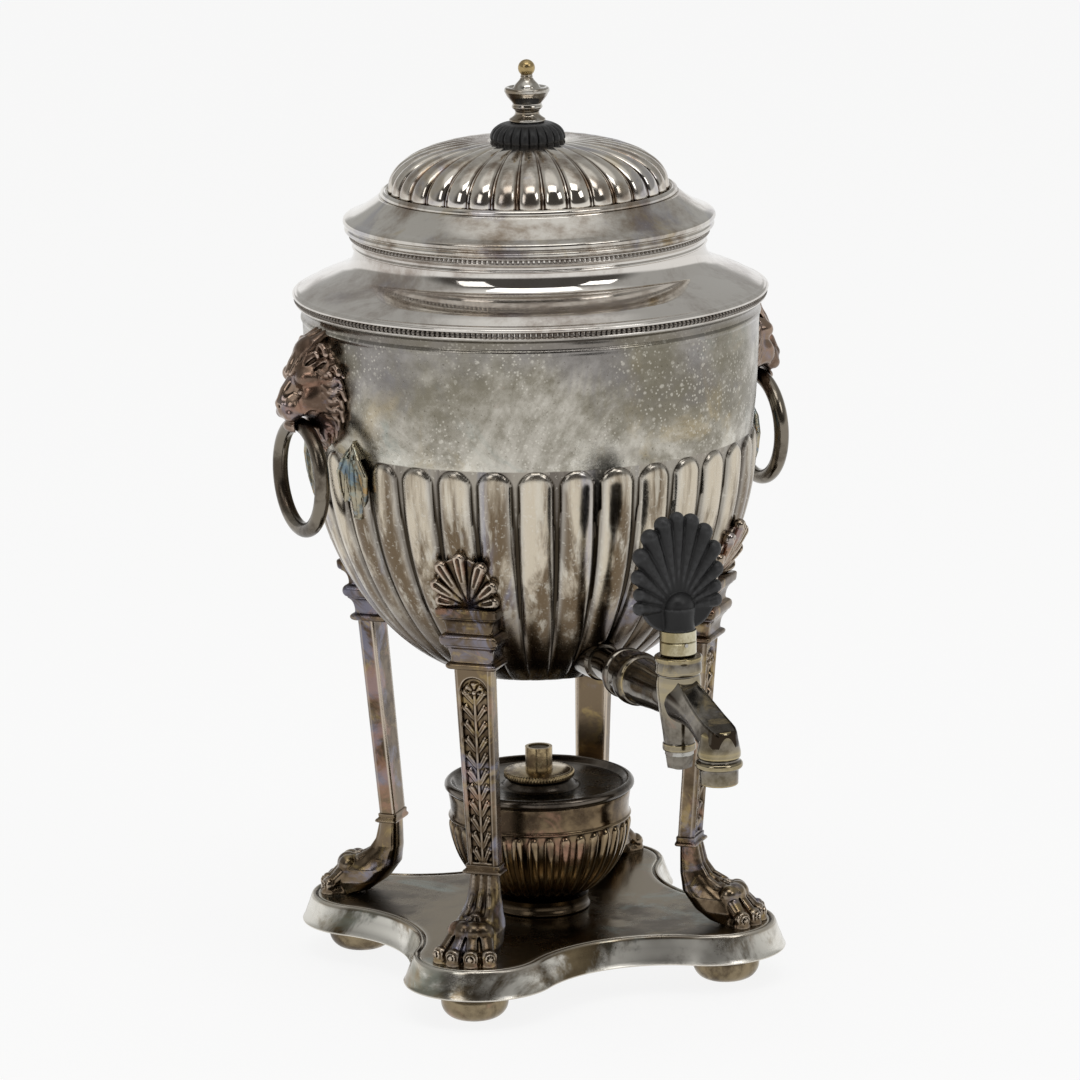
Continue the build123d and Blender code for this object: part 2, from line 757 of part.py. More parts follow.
with BuildPart() as finial_ball:
    drop = sqrt(ball_radius ** 2 - finial_neck_radius ** 2)
    with Locations((0, 0, finial_top + drop)):
        Sphere(ball_radius)
    split(bisect_by=Plane.XY.offset(finial_top), keep=Keep.TOP)
finial_ball.part.label = "finial_ball"

dome_ceiling = dome_top - 2.2 * lid_sheet
with BuildPart() as lid_washer:
    with BuildSketch(Plane.XY.offset(dome_ceiling - lid_washer_height - 0.4)):
        Circle(lid_washer_radius)
        Circle(lid_bolt_radius + stud_gap, mode=Mode.SUBTRACT)
    extrude(amount=lid_washer_height)
lid_washer.part.label = "lid_washer"

nut_roof = dome_ceiling - lid_washer_height - 0.4
with BuildPart() as lid_nut:
    with BuildSketch(Plane.XY.offset(nut_roof - lid_nut_height)):
        RegularPolygon(lid_nut_across / 2, 6, major_radius=False)
        Circle(lid_bolt_radius + running_gap, mode=Mode.SUBTRACT)
    extrude(amount=lid_nut_height)
lid_nut.part.label = "lid_nut"

with BuildPart() as lid_bolt:
    with BuildSketch(Plane.XY.offset(nut_roof - lid_nut_height - 1.5)):
        Circle(lid_bolt_radius)
    extrude(amount=knob_top + lid_bolt_in_finial - seat_gap - nut_roof + lid_nut_height + 1.5)
lid_bolt.part.label = "lid_bolt"


# Lion mask on the +X side, with a channel through the jaws that the ring turns in
mane_plane = Plane((mask_back + 9, 0, mask_height), x_dir=(0, 1, 0), z_dir=(1, 0, 0))
mane = []
for lock in range(mane_locks):
    swing = mane_sweep * (lock / (mane_locks - 1) - 0.5)
    stretch = mask_half_height + lock_proud - mask_half_width - 1
    lock_length = mask_half_width + 1 + stretch * cos(radians(swing)) ** 2
    lock_plane = turned(mane_plane, swing)
    mane.append(round_rib(lock_plane, lock_start, lock_length, lock_root_radius, lock_radius))
with BuildPart() as lion_mask:
    face_sections = [
        (mask_back, 1.0), (mask_back + 10, 1.0), (mask_brow_reach - 2.5, 0.8), (mask_brow_reach + 1.5, 0.5),
    ]
    for reach, share in face_sections:
        with BuildSketch(Plane.YZ.offset(reach)):
            with Locations((0, mask_height + 2)):
                Ellipse(mask_half_width * share, mask_half_height * share)
    loft(ruled=True)
    muzzle_sections = [
        (mask_back + 8, 12.5, 14.0, -7.5), (ring_reach + 2, 11.0, 11.0, -6.5),
        (nose_reach - 3, 8.0, 7.5, -4.0), (nose_reach, 4.0, 3.0, -2.5),
    ]
    for reach, half_width, half_height, lift in muzzle_sections:
        with BuildSketch(Plane.YZ.offset(reach)):
            with Locations((0, mask_height + lift)):
                Ellipse(half_width, half_height)
    loft(ruled=True)
    for side in (-1, 1):
        with Locations((mask_brow_reach - 2, side * 6.5, mask_height + 10)):
            Sphere(5.0)
        with Locations((mask_back + 12, side * 13.5, mask_height + 21)):
            Sphere(4.2)
    add(mane)
    chin_plane = Plane((mask_back + 8, 0, mask_height - 14), x_dir=(0, -1, 0), z_dir=(1, 0, 0))
    with BuildSketch(chin_plane):
        with BuildLine():
            Polyline((0, 0), (5.5, 0), (4.0, 6.0), (0, 14.0), (0, 0))
        make_face()
    revolve(axis=Axis(chin_plane.origin, chin_plane.y_dir))
    add(bowl_envelope.part, mode=Mode.SUBTRACT)
    channel_half = 14.0
    channel_throat = ring_wire + ring_gap
    channel_mouth = channel_throat + ring_radius - sqrt(ring_radius ** 2 - channel_half ** 2)
    with BuildSketch(Plane((ring_reach, 0, ring_hinge), x_dir=(1, 0, 0), z_dir=(0, 0, 1))):
        with BuildLine():
            ThreePointArc((channel_mouth, -channel_half), (channel_throat, 0), (channel_mouth, channel_half))
            Polyline(
                (channel_mouth, channel_half), (0, channel_half), (0, -channel_half),
                (channel_mouth, -channel_half)
            )
        make_face()
    revolve(axis=Axis((ring_reach, 0, ring_hinge), (0, 1, 0)), mode=Mode.SUBTRACT)
masks = {
    "lion_mask_right": lion_mask.part.rotate(Axis.Z, 0),
    "lion_mask_left": lion_mask.part.rotate(Axis.Z, 180),
}

rings = {}
for name, side in (("ring_right", 1), ("ring_left", -1)):
    with BuildPart() as ring:
        ring_centre = (side * ring_reach, 0, ring_hinge - ring_radius)
        with Locations(Plane(ring_centre, x_dir=(0, 1, 0), z_dir=(1, 0, 0))):
            Torus(ring_radius, ring_wire)
    rings[name] = ring.part


# Tap: flange against the bowl, body with shank, tapered housing and curved spout
tap_line = Axis((0, 0, tap_height), (0, -1, 0))
plug_axis = Axis((0, -tap_plug_reach, 0), (0, 0, 1))
along_tap = Plane((0, 0, tap_height), x_dir=(0, -1, 0), z_dir=(1, 0, 0))
with BuildPart() as tap_flange:
    with BuildSketch(along_tap):
        Polygon(
            (shank_start, 0), (shank_start, flange_radius), (flange_face - 1.6, flange_radius),
            (flange_face, flange_radius - 0.9), (flange_face, 0), align=None
        )
    revolve(axis=tap_line)
    with BuildSketch(Plane.XZ):
        with Locations((0, tap_height)):
            Circle(shank_radius + stud_gap)
    extrude(amount=bowl_radius, mode=Mode.SUBTRACT)
    add(bowl_envelope.part, mode=Mode.SUBTRACT)
tap_flange.part.label = "tap_flange"

# Distance from the urn's axis and radius, for the shank's waist, flare and two collars
shank_line = [
    (shank_start, shank_radius), (flange_face + seat_gap, shank_radius),
    (flange_face + 1.0, shank_neck_radius), (76.0, 7.6), (85.0, 8.9), (87.5, 10.4), (91.0, 10.6),
    (92.5, 9.8), (97.0, 9.8), (98.5, 11.2), (103.0, 11.4), (106.0, 10.2), (112.0, 9.4),
    (tap_plug_reach, 8.6),
]
spout_path_points = [
    (0, -tap_plug_reach, tap_height), (0, -tap_outlet_reach, tap_height),
    (0, -tap_outlet_reach, tap_height - outlet_drop),
]
with BuildPart() as tap_body:
    with BuildSketch(along_tap):
        Polygon((shank_start, 0), *shank_line, (tap_plug_reach, 0), align=None)
    revolve(axis=tap_line)
    housing_line = [
        (plug_bottom_radius + 1.7, housing_floor + 2), (7.0, tap_height - 19),
        (housing_radius - 1.2, tap_height - 10), (housing_radius, tap_height),
        (housing_radius - 0.4, tap_height + 12), (housing_radius + 0.4, tap_height + 13.4),
        (housing_radius + 0.5, housing_roof - 1), (housing_radius - 0.3, housing_roof),
    ]
    with BuildSketch(Plane((0, -tap_plug_reach, 0), x_dir=(1, 0, 0), z_dir=(0, -1, 0))):
        Polygon((0, housing_floor + 2), *housing_line, (0, housing_roof), align=None)
    revolve(axis=plug_axis)
    bend_centre = (tap_outlet_reach - spout_bend, tap_height - spout_bend)
    for turn, radius in ((0, 9.2), (30, 9.0), (60, 8.5), (90, 8.0)):
        reach = bend_centre[0] + spout_bend * sin(radians(turn))
        lift = bend_centre[1] + spout_bend * cos(radians(turn))
        facing = (0, -cos(radians(turn)), -sin(radians(turn)))
        with BuildSketch(Plane((0, -reach, lift), x_dir=(1, 0, 0), z_dir=facing)):
            Circle(radius)
    loft()
    with BuildSketch(Plane((0, -tap_plug_reach, tap_height), x_dir=(1, 0, 0), z_dir=(0, -1, 0))):
        Circle(9.2)
    extrude(amount=bend_centre[0] - tap_plug_reach)
    outlet_top = tap_height - spout_bend
    outlet_line = [
        (8.0, outlet_top), (9.2, outlet_top - 1), (9.2, outlet_top - 2.6), (8.2, outlet_top - 3.4),
        (outlet_ring_radius, outlet_top - 4.2), (outlet_ring_radius, outlet_top - 6.2),
        (outlet_radius + 0.2, outlet_top - 7), (outlet_radius, tap_height - outlet_drop),
    ]
    with BuildSketch(Plane((0, -tap_outlet_reach, 0), x_dir=(1, 0, 0), z_dir=(0, -1, 0))):
        Polygon((0, outlet_top), *outlet_line, (0, tap_height - outlet_drop), align=None)
    revolve(axis=Axis((0, -tap_outlet_reach, 0), (0, 0, 1)))
    with BuildLine() as spout_path:
        FilletPolyline(*spout_path_points, radius=spout_bend)
    with BuildSketch(Plane(spout_path_points[0], x_dir=(1, 0, 0), z_dir=(0, -1, 0))):
        Circle(tap_bore_radius)
    sweep(mode=Mode.SUBTRACT)
    with BuildSketch(Plane((0, -shank_start, tap_height), x_dir=(1, 0, 0), z_dir=(0, -1, 0))):
        Circle(tap_bore_radius)
    extrude(amount=tap_plug_reach - shank_start, mode=Mode.SUBTRACT)
    with BuildSketch(Plane((0, -tap_plug_reach, 0), x_dir=(1, 0, 0), z_dir=(0, -1, 0))):
        Polygon(
            (0, housing_floor + 2), (plug_bottom_radius + running_gap, housing_floor + 2),
            (plug_top_radius + running_gap, housing_roof), (0, housing_roof), align=None
        )
    revolve(axis=plug_axis, mode=Mode.SUBTRACT)
tap_body.part.label = "tap_body"

plug_sketch_plane = Plane((0, -tap_plug_reach, 0), x_dir=(1, 0, 0), z_dir=(0, -1, 0))
with BuildPart() as tap_plug:
    with BuildSketch(plug_sketch_plane):
        tail_end = housing_floor + 2 - plug_washer_height - plug_nut_height - 1
        Polygon(
            (0, tail_end), (plug_tail_radius, tail_end), (plug_tail_radius, housing_floor + 2),
            (plug_bottom_radius, housing_floor + 2), (plug_top_radius, housing_roof),
            (plug_stem_radius, housing_roof + 0.3), (plug_stem_radius, handle_root - 2),
            (0, handle_root - 2), align=None
        )
    revolve(axis=plug_axis)
    with BuildSketch(Plane.YZ.offset(-housing_radius)):
        with Locations((-tap_plug_reach, tap_height)):
            Circle(tap_bore_radius)
    extrude(amount=2 * housing_radius, mode=Mode.SUBTRACT)
    with BuildSketch(Plane.XZ.offset(tap_plug_reach - handle_stem_radius)):
        with Locations((0, (housing_roof + ferrule_top) / 2)):
            Circle(handle_pin_radius + stud_gap)
    extrude(amount=2 * handle_stem_radius, mode=Mode.SUBTRACT)
tap_plug.part.label = "tap_plug"

with BuildPart() as plug_ferrule:
    groove = (housing_roof + ferrule_top) / 2 + 0.8
    with BuildSketch(plug_sketch_plane):
        Polygon(
            (plug_stem_radius + stud_gap, housing_roof + 0.3), (ferrule_radius - 0.5, housing_roof + 0.3),
            (ferrule_radius, housing_roof + 1), (ferrule_radius, groove - 0.4),
            (ferrule_radius - 0.4, groove), (ferrule_radius, groove + 0.4), (ferrule_radius, ferrule_top),
            (plug_stem_radius + stud_gap, ferrule_top), align=None
        )
    revolve(axis=plug_axis)
    with BuildSketch(Plane.XZ.offset(tap_plug_reach - handle_stem_radius - 2)):
        with Locations((0, (housing_roof + ferrule_top) / 2)):
            Circle(handle_pin_radius + stud_gap)
    extrude(amount=2 * handle_stem_radius + 4, mode=Mode.SUBTRACT)
plug_ferrule.part.label = "plug_ferrule"

with BuildPart() as handle_pin:
    with BuildSketch(Plane.XZ.offset(tap_plug_reach - ferrule_radius)):
        with Locations((0, (housing_roof + ferrule_top) / 2)):
            Circle(handle_pin_radius)
    extrude(amount=2 * ferrule_radius + 0.4)
handle_pin.part.label = "handle_pin"

fan_root = Plane((0, -tap_plug_reach, handle_root - 1), x_dir=(1, 0, 0), z_dir=(0, -1, 0))
handle_ribs = []
for rib in range(-handle_ribs_each_side, handle_ribs_each_side + 1):
    swing = (handle_rib_spacing * abs(rib) + handle_rib_spread * rib ** 2) * (1 if rib > 0 else -1)
    fade = max(0.0, cos(radians(min(90.0, 1.15 * abs(swing))))) ** 2
    rib_length = handle_short_rib + (handle_long_rib - handle_short_rib) * fade
    half_angle = radians((handle_rib_spacing + 2 * handle_rib_spread * abs(rib)) / 2)
    tip_radius = handle_rib_overlap * rib_length * sin(half_angle) / (1 + sin(half_angle))
    root_radius = handle_rib_overlap * handle_rib_start * sin(half_angle)
    rib_plane = turned(fan_root, -swing)
    handle_ribs.append(round_rib(rib_plane, handle_rib_start, rib_length, root_radius, tip_radius))
with BuildPart() as tap_handle:
    with BuildSketch(plug_sketch_plane):
        Polygon(
            (0, ferrule_top), (handle_stem_radius - 0.2, ferrule_top), (handle_stem_radius, ferrule_top + 0.8),
            (handle_stem_radius, handle_root - 1), (handle_stem_radius - 2, handle_root + 3),
            (0, handle_root + 3), align=None
        )
    revolve(axis=plug_axis)
    with BuildSketch(Plane.XZ.offset(tap_plug_reach - handle_web / 2)):
        with Locations((0, handle_root + handle_long_rib * 0.36)):
            Ellipse(handle_short_rib * 0.76, handle_long_rib * 0.33)
    extrude(amount=handle_web)
    add(handle_ribs)
    with Locations((0, -tap_plug_reach, handle_root)):
        Sphere(handle_stem_radius * 0.97)
    with BuildSketch(plug_sketch_plane):
        Polygon(
            (0, ferrule_top), (plug_stem_radius + stud_gap, ferrule_top),
            (plug_stem_radius + stud_gap, handle_root - 2 + seat_gap), (0, handle_root - 2 + seat_gap),
            align=None
        )
    revolve(axis=plug_axis, mode=Mode.SUBTRACT)
tap_handle.part.label = "tap_handle"

with BuildPart() as plug_washer:
    with BuildSketch(Plane.XY.offset(housing_floor + 2 - plug_washer_height - running_gap)):
        with Locations((0, -tap_plug_reach)):
            Circle(plug_nut_radius - 0.3)
            Circle(plug_tail_radius + stud_gap, mode=Mode.SUBTRACT)
    extrude(amount=plug_washer_height)
plug_washer.part.label = "plug_washer"

with BuildPart() as plug_nut:
    with BuildSketch(Plane.XY.offset(housing_floor + 2 - plug_washer_height - running_gap)):
        with Locations((0, -tap_plug_reach)):
            RegularPolygon(plug_nut_radius, 8)
            Circle(plug_tail_radius + stud_gap, mode=Mode.SUBTRACT)
    extrude(amount=-plug_nut_height, taper=8)
plug_nut.part.label = "plug_nut"


# Spirit lamp: ribbed bowl, dished top with a rolled rim, burner, wick tube and wick
def lamp_crest(rise):
    """Radius of the lamp's belly at a rise above the plate."""
    return lamp_radius * sqrt(1 - ((lamp_rib_top - rise) / lamp_belly_depth) ** 2)


with BuildPart() as lamp_bowl:
    for step in (0.0, 0.2, 0.4, 0.6, 0.78, 0.9, 1.0):
        rise = lamp_rib_bottom + (lamp_rib_top - lamp_rib_bottom) * step
        relief = lamp_rib_relief * (1 - (2 * step - 1) ** 4) + 0.1
        share = lamp_rib_share * (1 - 0.6 * (2 * step - 1) ** 6)
        with BuildSketch(Plane.XY.offset(plate_top + rise)):
            add(lobed_ring(lobe_count, lamp_crest(rise), relief, share, lobe_turn))
    loft(ruled=True)
    with BuildSketch(Plane.XZ):
        Polygon(
            (0, plate_top), (lamp_foot_radius, plate_top), (lamp_foot_radius, plate_top + 2),
            (lamp_crest(lamp_rib_bottom) - 1.5, plate_top + lamp_rib_bottom - 2.5),
            (lamp_crest(lamp_rib_bottom) - 0.5, plate_top + lamp_rib_bottom),
            (0, plate_top + lamp_rib_bottom), align=None
        )
    revolve(axis=Axis.Z)
    with BuildSketch(Plane.XZ):
        Polygon(
            (0, plate_top + lamp_rib_top), (lamp_radius - 0.4, plate_top + lamp_rib_top),
            (lamp_radius, plate_top + lamp_rib_top + 1),
            (lamp_band_radius - 0.6, plate_top + lamp_rib_top + 2),
            (lamp_band_radius, lamp_top_level - 1.5), (lamp_band_radius, lamp_top_level),
            (0, lamp_top_level), align=None
        )
    revolve(axis=Axis.Z)
    with BuildSketch(Plane.XZ):
        with BuildLine():
            wall = lamp_sheet + lamp_rib_relief
            hollow_turn = degrees(asin((lamp_rib_top - lamp_rib_bottom) / lamp_belly_depth))
            inner = EllipticalCenterArc(
                (0, plate_top + lamp_rib_top), lamp_radius - wall, lamp_belly_depth - wall,
                -hollow_turn, arc_size=hollow_turn
            )
            Polyline(
                inner @ 1, (lamp_radius - wall, lamp_top_level), (0, lamp_top_level),
                (0, (inner @ 0).Y), inner @ 0
            )
        make_face()
    revolve(axis=Axis.Z, mode=Mode.SUBTRACT)
lamp_bowl.part.label = "lamp_bowl"

boss_top = lamp_top_level + lamp_sheet + lamp_boss_lift
with BuildPart() as lamp_top:
    with BuildSketch(Plane.XZ):
        Polygon(
            (burner_plug_radius + running_gap, lamp_top_level), (lamp_rim_radius, lamp_top_level),
            (lamp_rim_radius, lamp_top_level + lamp_rim_lift),
            (lamp_rim_radius - lamp_rim_wire, lamp_top_level + 2.4),
            (lamp_boss_radius + 2, lamp_top_level + lamp_sheet),
            (lamp_boss_radius, lamp_top_level + lamp_sheet + 0.6),
            (lamp_boss_radius - 0.6, boss_top), (burner_plug_radius + running_gap, boss_top), align=None
        )
    revolve(axis=Axis.Z)
    with BuildSketch(Plane.XZ):
        with Locations((lamp_rim_radius, lamp_top_level + lamp_rim_lift)):
            Circle(lamp_rim_wire)
    revolve(axis=Axis.Z)
lamp_top.part.label = "lamp_top"

with BuildPart() as burner_disc:
    with BuildSketch(Plane.XZ):
        Polygon(
            (wick_tube_radius + stud_gap, boss_top - burner_plug_depth),
            (burner_plug_radius, boss_top - burner_plug_depth), (burner_plug_radius, boss_top),
            (burner_radius - 0.5, boss_top), (burner_radius, boss_top + 0.5),
            (burner_radius, boss_top + burner_height - 0.6), (burner_radius - 1, boss_top + burner_height),
            (wick_tube_radius + stud_gap, boss_top + burner_height), align=None
        )
    revolve(axis=Axis.Z)
burner_disc.part.label = "burner_disc"

burner_top = boss_top + burner_height
with BuildPart() as wick_tube:
    with BuildSketch(Plane.XY.offset(boss_top - burner_plug_depth - 2)):
        Circle(wick_tube_radius)
        Circle(wick_tube_radius - wick_tube_wall, mode=Mode.SUBTRACT)
    extrude(amount=burner_plug_depth + 2 + burner_height + wick_tube_rise)
wick_tube.part.label = "wick_tube"

with BuildPart() as wick:
    with BuildSketch(Plane.XY.offset(burner_top + wick_tube_rise - wick_proud)):
        Circle(wick_tube_radius - wick_tube_wall - wick_gap)
    extrude(amount=-wick_tube_rise - burner_height - wick_below)
wick.part.label = "wick"


finished = [
    base_plate.part, leg_studs.part, body_bowl.part, rim_band.part, shoulder.part, mouth_band.part,
    lid_cover.part, lid_bezel.part, lid_collar.part, lid_dome.part, lid_knob.part, finial.part,
    finial_ball.part, lid_washer.part, lid_nut.part, lid_bolt.part, tap_flange.part, tap_body.part,
    tap_plug.part, plug_ferrule.part, handle_pin.part, tap_handle.part, plug_washer.part, plug_nut.part,
    lamp_bowl.part, lamp_top.part, burner_disc.part, wick_tube.part, wick.part,
]
finished += list(feet.values()) + list(legs.values()) + list(leg_shells.values())
for name, piece in list(masks.items()) + list(rings.items()):
    piece.label = name
    finished.append(piece)

os.makedirs("parts", exist_ok=True)
for piece in finished:
    export_step(piece, "parts/" + piece.label + ".step")
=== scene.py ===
from math import atan2, cos, pi, radians, sin, sqrt

import bpy
import numpy as np
from mathutils import Matrix, Vector


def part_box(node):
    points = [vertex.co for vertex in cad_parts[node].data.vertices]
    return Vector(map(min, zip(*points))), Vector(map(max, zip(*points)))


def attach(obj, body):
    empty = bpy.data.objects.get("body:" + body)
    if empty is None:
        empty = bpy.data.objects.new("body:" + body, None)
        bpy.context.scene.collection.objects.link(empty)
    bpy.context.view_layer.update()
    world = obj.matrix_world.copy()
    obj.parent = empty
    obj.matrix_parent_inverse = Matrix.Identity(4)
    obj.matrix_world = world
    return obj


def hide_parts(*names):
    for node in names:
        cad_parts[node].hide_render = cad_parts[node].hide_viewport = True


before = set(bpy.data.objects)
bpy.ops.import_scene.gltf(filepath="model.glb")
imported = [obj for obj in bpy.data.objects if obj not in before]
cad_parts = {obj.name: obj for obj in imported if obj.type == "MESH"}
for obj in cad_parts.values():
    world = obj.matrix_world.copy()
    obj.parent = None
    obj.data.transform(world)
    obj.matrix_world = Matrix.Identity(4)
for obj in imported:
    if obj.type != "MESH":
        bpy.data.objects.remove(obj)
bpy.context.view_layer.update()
mm = 0.001
plate_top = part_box("base_plate")[1][2] / mm

# Every size below is in millimetres, and every mesh is brought to metres when it is made.


# Meshes

def make_piece(name, points, quads, material, body, replaces=(), slot=None, crease=38.0, values=None):
    """A mesh piece from points in millimetres, riding on a body, with optional values per point."""
    mesh = bpy.data.meshes.new(name)
    corners = np.asarray(quads, dtype=np.int32).ravel()
    mesh.vertices.add(len(points))
    mesh.vertices.foreach_set("co", (np.asarray(points, dtype=np.float64) * mm).ravel())
    mesh.loops.add(len(corners))
    mesh.loops.foreach_set("vertex_index", corners)
    mesh.polygons.add(len(quads))
    mesh.polygons.foreach_set("loop_start", np.arange(0, len(corners), 4))
    mesh.update(calc_edges=True)
    mesh.validate()
    for label, value in (values or {}).items():
        layer = mesh.attributes.new(label, "FLOAT", "POINT")
        layer.data.foreach_set("value", np.asarray(value, dtype=np.float32))
    mesh.shade_smooth()
    mesh.set_sharp_from_angle(angle=radians(crease))
    mesh.materials.append(material)
    piece = bpy.data.objects.new(name, mesh)
    bpy.context.scene.collection.objects.link(piece)
    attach(piece, body)
    if replaces:
        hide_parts(*replaces)


def grid_faces(rows, columns):
    """Quads between neighbouring rows of points, each row closed into a ring."""
    row = np.arange(rows - 1)[:, None] * columns
    column = np.arange(columns)[None, :]
    after = (column + 1) % columns
    return np.stack(
        [row + column, row + after, row + columns + after, row + columns + column], axis=-1
    ).reshape(-1, 4)


def softened(outline, radius, cuts=4):
    """An outline with each corner rounded, given as (across, up) or (across, up, own radius)."""
    made = [outline[0][:2]]
    for before, corner, after in zip(outline, outline[1:], outline[2:]):
        size = corner[2] if len(corner) > 2 else radius
        here = Vector(corner[:2])
        back, ahead = Vector(before[:2]) - here, Vector(after[:2]) - here
        size = min(size, back.length * 0.45, ahead.length * 0.45)
        if size < 0.01:
            made.append(tuple(here))
            continue
        first, last = here + back.normalized() * size, here + ahead.normalized() * size
        for cut in range(cuts + 1):
            share = cut / cuts
            spot = first * (1 - share) ** 2 + here * 2 * share * (1 - share) + last * share ** 2
            made.append(tuple(spot))
    made.append(outline[-1][:2])
    return made


def raised(level, outline):
    """An outline whose heights count from a level."""
    return [(across, level + up, *own) for across, up, *own in outline]


def ring_angles(count):
    """Evenly spaced angles round a circle."""
    return np.arange(count) * 2 * pi / count


def ring_points(radius, angle, level):
    """Points of level rings, from a table of radii with a row for each ring."""
    level = np.broadcast_to(level, radius.shape)
    return np.stack([radius * np.cos(angle), radius * np.sin(angle), level], axis=-1).reshape(-1, 3)


def lobe_offset(angle, count, start):
    """How far each angle lies from the middle of its lobe: 0 at the middle, 1 or -1 between lobes."""
    off = (angle - start) * count / (2 * pi)
    return (off - np.round(off)) * 2


def turned_points(outline, segments, centre=(0, 0, 0), forward=False):
    """Points of a turned form about an axis through a centre, upright or pointing forward."""
    outline = np.asarray(outline, dtype=np.float64)
    radius = np.repeat(outline[:, :1], segments, axis=1)
    points = ring_points(radius, ring_angles(segments), outline[:, 1:])
    if forward:
        points = points[:, [0, 2, 1]] * (1, -1, 1)
    return points + centre


def turned(name, outline, material, body, segments, **more):
    """A turned piece from an outline that starts and ends on the axis, or is closed on itself."""
    points, faces = turned_points(outline, segments), grid_faces(len(outline), segments)
    make_piece(name, points, faces, material, body, **more)


def beads(count, ring_radius, level, size):
    """Points and faces of a ring of small round beads."""
    rings, sides = 6, 8
    tilt = np.linspace(0, pi, rings)[:, None]
    ball = ring_points(np.sin(tilt) * np.ones(sides), ring_angles(sides), np.cos(tilt)) * size
    spots = ring_points(np.full((1, count), ring_radius), ring_angles(count), level)
    points = (spots[:, None, :] + ball[None, :, :]).reshape(-1, 3)
    starts = np.arange(count)[:, None, None] * len(ball)
    return points, (starts + grid_faces(rings, sides)[None]).reshape(-1, 4)


def joined(*parts):
    """Several (points, faces) pairs as one pair."""
    points, faces, start = [], [], 0
    for spots, quads in parts:
        points.append(np.asarray(spots))
        faces.append(np.asarray(quads) + start)
        start += len(spots)
    return np.concatenate(points), np.concatenate(faces)


# Camera, floor and light: the camera is the one that the photograph was measured through

camera_azimuth = radians(24.95)
camera_distance = 2522.19
camera_height = 758.85
camera_tilt = radians(12.71)
camera_pan = radians(0.05)
camera_roll = radians(-1.02)
camera_focal = 5961.25 / 1080

away = Vector((sin(camera_azimuth), cos(camera_azimuth), 0))
rightward = Vector((cos(camera_azimuth), -sin(camera_azimuth), 0))
heading = away * cos(camera_pan) + rightward * sin(camera_pan)
sideways = rightward * cos(camera_pan) - away * sin(camera_pan)
looking = heading * cos(camera_tilt) - Vector((0, 0, 1)) * sin(camera_tilt)
upward = sideways.cross(looking)
across = sideways * cos(camera_roll) + upward * sin(camera_roll)
above = upward * cos(camera_roll) - sideways * sin(camera_roll)

sensor_width = 36
lens = bpy.data.cameras.new("camera")
lens.sensor_width = sensor_width
lens.lens = sensor_width * camera_focal
lens.clip_end = 50
camera = bpy.data.objects.new("camera", lens)
bpy.context.scene.collection.objects.link(camera)
turn = Matrix((across, above, -looking)).transposed().to_4x4()
place = Vector((
    -sin(camera_azimuth) * camera_distance, -cos(camera_azimuth) * camera_distance, camera_height,
)) * mm
camera.matrix_world = Matrix.Translation(place) @ turn
bpy.context.scene.camera = camera
bpy.context.scene.view_settings.view_transform = "Standard"


class Recipe:
    """The node tree of one material, built a step at a time."""

    def __init__(self, tree, place="Object"):
        self.tree = tree
        self.place = self.add("TexCoord").outputs[place]

    def add(self, kind, **settings):
        node = self.tree.nodes.new("ShaderNode" + kind)
        for key, value in settings.items():
            setattr(node, key, value)
        return node

    def feed(self, socket, value):
        """A link where the value is a socket, and a plain value otherwise."""
        if isinstance(value, bpy.types.NodeSocket):
            self.tree.links.new(value, socket)
        else:
            socket.default_value = value

    def math(self, operation, first, second):
        node = self.add("Math", operation=operation)
        self.feed(node.inputs[0], first)
        self.feed(node.inputs[1], second)
        return node.outputs[0]

    def times(self, first, second):
        return self.math("MULTIPLY", first, second)

    def plus(self, first, second):
        return self.math("ADD", first, second)

    def drawn_out(self, up):
        """The place with its height scaled, which draws a pattern out up and down."""
        node = self.add("Mapping")
        self.feed(node.inputs["Vector"], self.place)
        node.inputs["Scale"].default_value = (1, 1, up)
        return node.outputs[0]

    def height(self):
        """How high the place is."""
        node = self.add("SeparateXYZ")
        self.feed(node.inputs[0], self.place)
        return node.outputs["Z"]

    def noise(self, scale, detail=4.0, rough=0.55, warp=0.0, place=None):
        node = self.add("TexNoise")
        self.feed(node.inputs["Vector"], place or self.place)
        node.inputs["Scale"].default_value = scale
        node.inputs["Detail"].default_value = detail
        node.inputs["Roughness"].default_value = rough
        node.inputs["Distortion"].default_value = warp
        return node.outputs[0]

    def spots(self, scale, middle, edge):
        """Round spots scattered at random: 1 inside the middle distance, 0 past the edge."""
        node = self.add("TexVoronoi")
        self.feed(node.inputs["Vector"], self.place)
        node.inputs["Scale"].default_value = scale
        return self.band(node.outputs["Distance"], edge, middle)

    def band(self, value, low, high, start=0.0, finish=1.0):
        """The value brought smoothly from one range to another."""
        node = self.add("MapRange", interpolation_type="SMOOTHSTEP")
        self.feed(node.inputs["Value"], value)
        node.inputs["From Min"].default_value = low
        node.inputs["From Max"].default_value = high
        node.inputs["To Min"].default_value = start
        node.inputs["To Max"].default_value = finish
        return node.outputs[0]

    def mix(self, share, first, second):
        """The first colour where the share is 0, and the second where it is 1."""
        node = self.add("Mix", data_type="RGBA")
        self.feed(node.inputs[0], share)
        for socket, value in ((node.inputs[6], first), (node.inputs[7], second)):
            self.feed(socket, value if isinstance(value, bpy.types.NodeSocket) else (*value, 1.0))
        return node.outputs[2]

    def over(self, ground, colour, share, strength):
        """A colour laid over a ground at a share and a strength."""
        return self.mix(self.times(share, strength), ground, colour)

    def value(self, name):
        """A value that the mesh holds at each point."""
        return self.add("Attribute", attribute_name=name).outputs["Fac"]


